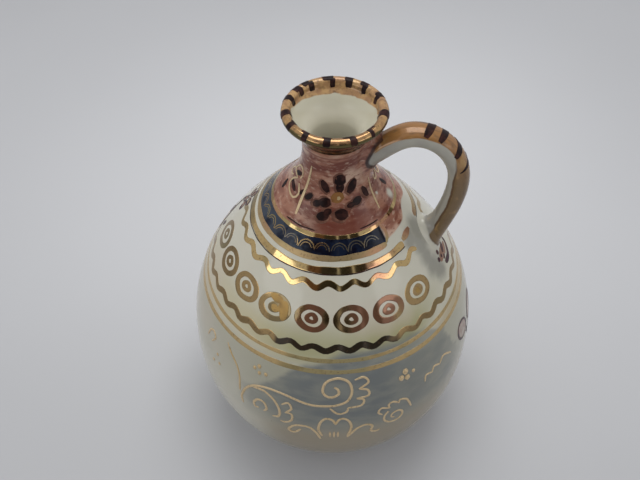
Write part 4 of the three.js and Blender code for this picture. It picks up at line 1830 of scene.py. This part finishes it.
# %% [markdown]
# ## Stripes over the lip
#
# Short dark bars cross the bead, as on a twisted rope. The brush touched twice for each bar, once outside
# and once inside, so the two halves never quite meet. The painter spaced them by eye, so every bar has its
# own place and width in a table, one row of halves is drawn after the other, and the tree shakes them.

# %% Lip stripes
LIP_SHEET = 18.1
LIP_POINTS = 0.25  # mm between points, because the bead bends sharply
BAR_BOW = 0.15  # how far a bar's middle bows aside
OUTER_BARS = (  # azimuth and half width
    (-94, 1.25), (-66, 1.2), (-42, 0.8), (-5, 1.8), (29, 1.6), (56, 1.7), (77, 1.6),
    (103, 2.2), (132, 1.7), (147, 1.7), (166, 1.5), (194, 1.5), (216, 1.1), (240, 1.1),
)
INNER_BARS = (
    (-94.5, 1.9), (-70.5, 2.1), (-38, 1.9), (-5, 1.7), (26, 1.1), (52, 1.2), (76, 1.5),
    (97, 1.1), (127, 1.3), (144, 1.2), (166, 1.4), (193, 1.5), (214, 1.7), (238, 1.7),
)
BAR_ROWS = (  # name, bars, middle above the start of the bead, lower and upper end from there, seed
    ("lip_stripes_outer", OUTER_BARS, 4.3, -2.3, 2.2, 5),
    ("lip_stripes_inner", INNER_BARS, 7.3, -1.8, 2.1, 9),
)

for name, bars, above_bead, low, high, seed in BAR_ROWS:
    strokes = []
    for azimuth, half in bars:
        x = math.radians(azimuth) * LIP_SHEET
        strokes.append(line([(x, low), (x + BAR_BOW, 0), (x, high)], half, 0.75, 0.9, LIP_POINTS))
    paint(
        name, strokes, PETAL_PLUM, LIP_SHEET, "lip_lustre", crown=0.04, lift=0.04,
        first=(0, bead_run + above_bead), wobble=0.5, seed=seed,
    )

# %% [markdown]
# ## Scrolls on the belly
#
# The belly carries raised lines, trailed from a fine nozzle and gilded: a big volute with a long tail,
# cloud edges, a half-hidden flower and groups of dots. Each line runs through places read off the jug. A
# cloud's edge is one line per bump, so that a cusp stays between them. The drawing is set down twice.

# %% Belly scrolls
SCROLL_SHEET = 63.5
SCROLL_COPIES = 2
TRAIL = 0.62  # half the width of a trailed line
FINE_TRAIL = 0.54
VOLUTES = (  # azimuths and heights, as in all the tables of this cell
    (
        (-84.6, 88.8), (-83.2, 87.8), (-82.9, 85.4), (-85.3, 83.6), (-87.7, 84.3), (-89.0, 87.2),
        (-87.5, 91.4), (-83.2, 93.2), (-79.2, 91.2), (-77.8, 86.9), (-79.3, 81.5), (-83.1, 79.1),
        (-87.3, 78.4), (-93.6, 78.4), (-100.1, 80.2), (-106.1, 81.4), (-112.4, 80.9), (-117.3, 78.4),
        (-120.7, 73.5), (-122.6, 67.0), (-122.0, 62.0),
    ),
    ((-118.2, 77.8), (-112.3, 78.6), (-107.8, 75.3), (-105.5, 69.7), (-106.0, 65.4), (-108.4, 64.0)),
    (
        (-114.5, 65.6), (-116.2, 65.2), (-116.7, 67.8), (-114.6, 71.3), (-112.1, 71.1), (-110.9, 67.2),
        (-112.2, 65.0),
    ),
    ((-88.9, 56.2), (-90.3, 61.6), (-89.6, 67.2), (-87.6, 70.2), (-85.1, 69.2), (-83.9, 65.9)),
    ((-83.9, 65.9), (-82.7, 69.2), (-81.0, 70.2), (-78.9, 68.0), (-77.9, 62.9), (-79.3, 55.9)),
    (
        (-97.1, 59.5), (-100.1, 55.6), (-102.0, 57.0), (-100.4, 60.6), (-97.8, 62.5), (-94.2, 62.5),
        (-91.4, 59.0), (-89.6, 53.3),
    ),
    (
        (-79.3, 55.0), (-75.9, 61.2), (-72.4, 63.4), (-69.8, 61.4), (-70.2, 57.6), (-68.4, 55.9),
        (-66.5, 56.6),
    ),
)
SPIRAL_MIDDLE = (-60.4, 64.0)
CLOUD_BUMPS = (
    ((-76.6, 91.7), (-72.9, 92.6), (-71.2, 89.8), (-75.0, 87.1)),
    ((-75.0, 87.1), (-71.7, 86.0), (-71.4, 83.0), (-76.1, 82.1)),
    ((-76.1, 82.1), (-73.4, 81.0), (-74.2, 77.8), (-79.3, 77.1)),
    ((-79.3, 77.1), (-79.6, 74.7), (-83.1, 73.6), (-86.2, 77.0)),
    ((-104.7, 74.6), (-102.2, 76.7), (-100.8, 73.3), (-103.2, 69.6)),
    ((-103.2, 69.6), (-100.7, 69.8), (-100.7, 65.2), (-103.5, 62.3), (-105.2, 62.7)),
    ((-65.9, 68.0), (-67.6, 70.2), (-66.4, 72.7), (-62.9, 71.0)),
    ((-62.9, 71.0), (-63.3, 73.6), (-61.6, 74.5), (-59.0, 72.2)),
    ((-59.0, 72.2), (-58.6, 74.1), (-56.1, 72.8), (-54.9, 70.7), (-53.4, 65.5)),
    ((-46.7, 76.5), (-46.0, 79.9), (-42.6, 78.7)),
    ((-42.6, 78.7), (-41.4, 81.2), (-38.1, 79.5)),
    ((-38.1, 79.5), (-35.4, 82.2), (-30.2, 78.8)),
)
FINE_LINES = (
    ((-133, 91), (-129.7, 87.4), (-125.7, 83.2), (-123.9, 77.9), (-123.6, 70)),
    ((-146.2, 83.0), (-145.0, 87.0), (-142.5, 88.4), (-140.4, 86.4), (-142.5, 82.5)),
)
DOTS = (  # with the radius of each dot
    (-55.4, 88.8, 1.45), (-57.5, 86.3, 1.35), (-54.9, 85.4, 1.35), (-51.7, 87.0, 0.9),
    (-117.5, 88.8, 0.9), (-115.5, 90.5, 1.0), (-115.1, 87.3, 0.9), (-112.2, 88.0, 0.9),
    (-139.9, 73.1, 0.8), (-135.8, 74.8, 0.8), (-137.5, 79.1, 0.8),
)
STAMENS = [(azimuth, 57.6, 5.0, 0.5, 90) for azimuth in (-85.9, -84.4, -82.9)]  # length, half width, lean

on_belly = sheet(SCROLL_SHEET)


def in_scroll(azimuth, height):
    """A place in the drawing, measured from its middle."""
    return on_belly(azimuth, height) - on_belly(*SCROLL_MIDDLE)


scrolls = [traced(places, in_scroll, TRAIL, 0.6) for places in VOLUTES]
scrolls.append(curl(in_scroll(*SPIRAL_MIDDLE), 1.2, 5.8, 250, -1.35, FINE_TRAIL))
scrolls += [traced(places, in_scroll, FINE_TRAIL, 0.6) for places in CLOUD_BUMPS + FINE_LINES]
scrolls += dabs([(azimuth, height, 2 * size, size, 90) for azimuth, height, size in DOTS], in_scroll, 0.5)
scrolls += dabs(STAMENS, in_scroll)
paint(
    "trailed_scrolls", scrolls, TRAILED_GOLD, SCROLL_SHEET, face=round_face, crown=0.45,
    first=on_belly(*SCROLL_MIDDLE), copies=SCROLL_COPIES, spacing=360 / SCROLL_COPIES, wobble=0.2, seed=12,
)

# %% [markdown]
# ## Plum sprays
#
# A small plum flower sits below the handle's foot, a larger outlined one on the belly under it, and a spray
# on the far shoulder fills the border where the rings leave off. A blossom is a set of outlined ovals round
# a dot, filled with pale presses, so one helper draws both of them at their own size.

# %% Plum sprays
SPRAY_SHEET = 48.0
FLOWER_SHEET = 62.6
FLOWER_ARC = (
    (4.2, 114.3), (3.6, 112.1), (1.8, 111.0), (-0.4, 110.1), (-2.8, 109.6), (-5.9, 109.8), (-8.9, 110.5)
)
LEAF_STROKE = ((169.4, 103.6), (166.5, 109.0), (163.1, 115.0), (159.9, 120.4))
SPRAY_DABS = (  # azimuth, height, length, half width and lean, as in the next two tables
    (-3.0, 114.2, 4.6, 1.1, 28), (-9.6, 116.2, 2.2, 1.1, 90), (-12.5, 114.4, 2.1, 1.1, 20),
    (-6.6, 112.0, 2.4, 0.7, 20), (-8.4, 113.6, 1.6, 0.7, 60), (-6.2, 118.9, 2.6, 0.9, 30),
    (-2.8, 117.6, 2.0, 0.7, 60), (172.0, 110.0, 4.4, 1.2, 60), (161.5, 110.5, 4.4, 1.2, 120),
)
FLUSH_DABS = ((-6.5, 113.8, 9.0, 2.0, 12), (-1.5, 112.6, 6.0, 1.3, 20))
STEM_LEAVES = (
    (-1.5, 62.0, 8.0, 1.7, 62), (7.0, 60.5, 8.0, 1.7, 75), (3.0, 50.5, 7.5, 1.6, -55),
    (13.0, 50.8, 7.5, 1.6, -70), (20.5, 61.0, 5.0, 1.5, 50),
)
STEM = ((-10.6, 68.5), (-7.5, 62.0), (-1.0, 57.0), (8.0, 55.0), (18.0, 57.5))
SHOULDER_FLOWER = (167.0, 125.0)  # azimuth and height, as is the next
BELLY_FLOWER = (-11.0, 70.0)
PETAL_OUT = 12.0  # a petal of size 1: its middle from the dot, half its length, half its width
PETAL_LONG = 6.6
PETAL_WIDE = 4.7


def blossom(centre, size, turns):
    """Outlines of oval petals round a dot, and the pale presses in them; turns are the petals' ways."""
    outlines, fills = [dab(centre, 3.0 * size, 1.5 * size, 30, 0.45)], []
    round_it = np.linspace(0, 2 * math.pi, 28, endpoint=False)
    for turn in turns:
        along, across = leaning(turn, 1.0), leaning(turn + 90, 1.0)
        lengthwise = np.outer(PETAL_OUT + PETAL_LONG * np.cos(round_it), along)
        oval = lengthwise + np.outer(PETAL_WIDE * np.sin(round_it), across)
        outlines.append((centre + size * oval, 0.55 + 0.15 * np.cos(round_it), True))
        fills.append(dab(centre + leaning(turn, PETAL_OUT * size), 12.0 * size, 4.3 * size, turn, 0.3))
    return outlines, fills


on_spray, on_flower = sheet(SPRAY_SHEET), sheet(FLOWER_SHEET)
flower_arc, widths, closed = traced(FLOWER_ARC, on_spray, 1.15)
sprays = [(flower_arc, widths * np.linspace(0.6, 1.25, len(flower_arc)), closed)]
sprays.append(traced(LEAF_STROKE, on_spray, 0.9))
sprays += dabs(SPRAY_DABS, on_spray, 0.45)
shoulder_lines, shoulder_fills = blossom(on_spray(*SHOULDER_FLOWER), 0.35, range(20, 380, 72))
flush = dabs(FLUSH_DABS, on_spray, 0.3) + shoulder_fills
belly_lines, belly_fills = blossom(on_flower(*BELLY_FLOWER), 1.0, (128, 56, -16))
belly_lines.append(traced(STEM, on_flower, 0.55))
belly_lines += dabs(STEM_LEAVES, on_flower, 0.3)
for place, lines, fills, filling, radius in (
    ("shoulder", sprays + shoulder_lines, flush, PINK_FLUSH, SPRAY_SHEET),
    ("belly", belly_lines, belly_fills, PALE_FLUSH, FLOWER_SHEET),
):
    paint(f"{place}_flush", fills, filling, radius, crown=0.01, wobble=0.3, seed=15)
    paint(f"{place}_sprays", lines, SPRAY_PLUM, radius, crown=0.05, lift=0.08, wobble=0.3, seed=15)

# %% [markdown]
# ## Bars on the handle
#
# The same dark bars cross the outer face of the handle. A strap isn't round like the pot, so these strokes
# are set straight in space: each point keeps the direction that faces out of the clay, and a second small
# tree lays the brush on along it.

# %% Handle stripes
STRAP_INPUTS = {label: BRUSH_INPUTS[label] for label in ("Drawing", "Brush face", "Crown", "Paint")}
BARS = (  # distance along the strap, half width, taper, slant, and its angles round the strap
    (33.9, 1.6, 0.0, -1.3, 20, 148),
    (38.7, 1.5, 0.0, -1.2, 15, 148),
    (45.4, 1.7, -0.1, 0.9, 20, 160),
    (52.2, 1.25, -0.65, 1.5, 15, 172),
)
BAR_POINTS = 25
BAR_THINNING = 0.45  # how much narrower a bar's ends are


def strap_tree():
    """Paints lines in space, with the brush held along the direction stored on their points."""
    tree, inputs, identifiers = new_tree("painted_on_the_strap", STRAP_INPUTS)
    facing = add(tree, "GeometryNodeInputNamedAttribute", {"Name": "facing"}, data_type="FLOAT_VECTOR")
    curve = as_curve(tree, inputs["Drawing"])
    stroke = loaded_brush(tree, curve, inputs["Brush face"], inputs["Crown"], facing.outputs["Attribute"])
    painted_end(tree, stroke, inputs["Paint"])
    return tree, identifiers


def strap_bars():
    """The bars as chains of points on the strap, with brush widths and facing directions."""
    points, edges, widths, facings = [], [], [], []
    for run, half, taper, slant, start, end in BARS:
        first = len(points)
        for share in np.linspace(-1, 1, BAR_POINTS):
            angle = math.radians((start + end) / 2 + (end - start) / 2 * share)
            here = on_strap(run + slant * share, angle)
            outward = on_strap(run + slant * share, angle, 1.0) - here
            points.append(here * MM)
            facings.extend(outward / np.linalg.norm(outward))
            widths.append(half * MM * (1 + taper * share) * (1 - BAR_THINNING * abs(share) ** 3))
        edges.extend(chain(first, len(points) - 1))
    made = new_object("handle_stripes", points, edges)
    note(made, "brush", widths)
    made.data.attributes.new("facing", "FLOAT_VECTOR", "POINT").data.foreach_set("vector", facings)
    return made


strap_brush = {"Brush face": flat_face, "Crown": 0.05, "Paint": PETAL_PLUM}
painted_pieces.append((settled(strap_bars(), *strap_tree(), strap_brush), "handle_glaze"))

# %% [markdown]
# ## Dress the model
#
# Every piece rides on the jug's one body, and the shells stand for the measured pieces, which are hidden.
# The wall's line and the two brush faces were only guides and are removed.

# %% Ride and hide
for helper in (wall_line, flat_face, round_face):
    bpy.data.objects.remove(helper)
for piece, node, slot in (
    (foot_ring, "foot_ring", "bare_clay"),
    (body, "body", "belly_glaze"),
    (neck, "neck", "neck_glaze"),
    (lip, "mouth_rim", "lip_lustre"),
    (handle, "handle", "handle_glaze"),
    (root_joint, "handle_top_joint", "handle_glaze"),
    (foot_joint, "handle_foot_joint", "handle_glaze"),
):
    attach(piece, "root")
    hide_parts(node)
for piece, slot in painted_pieces:
    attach(piece, "root")
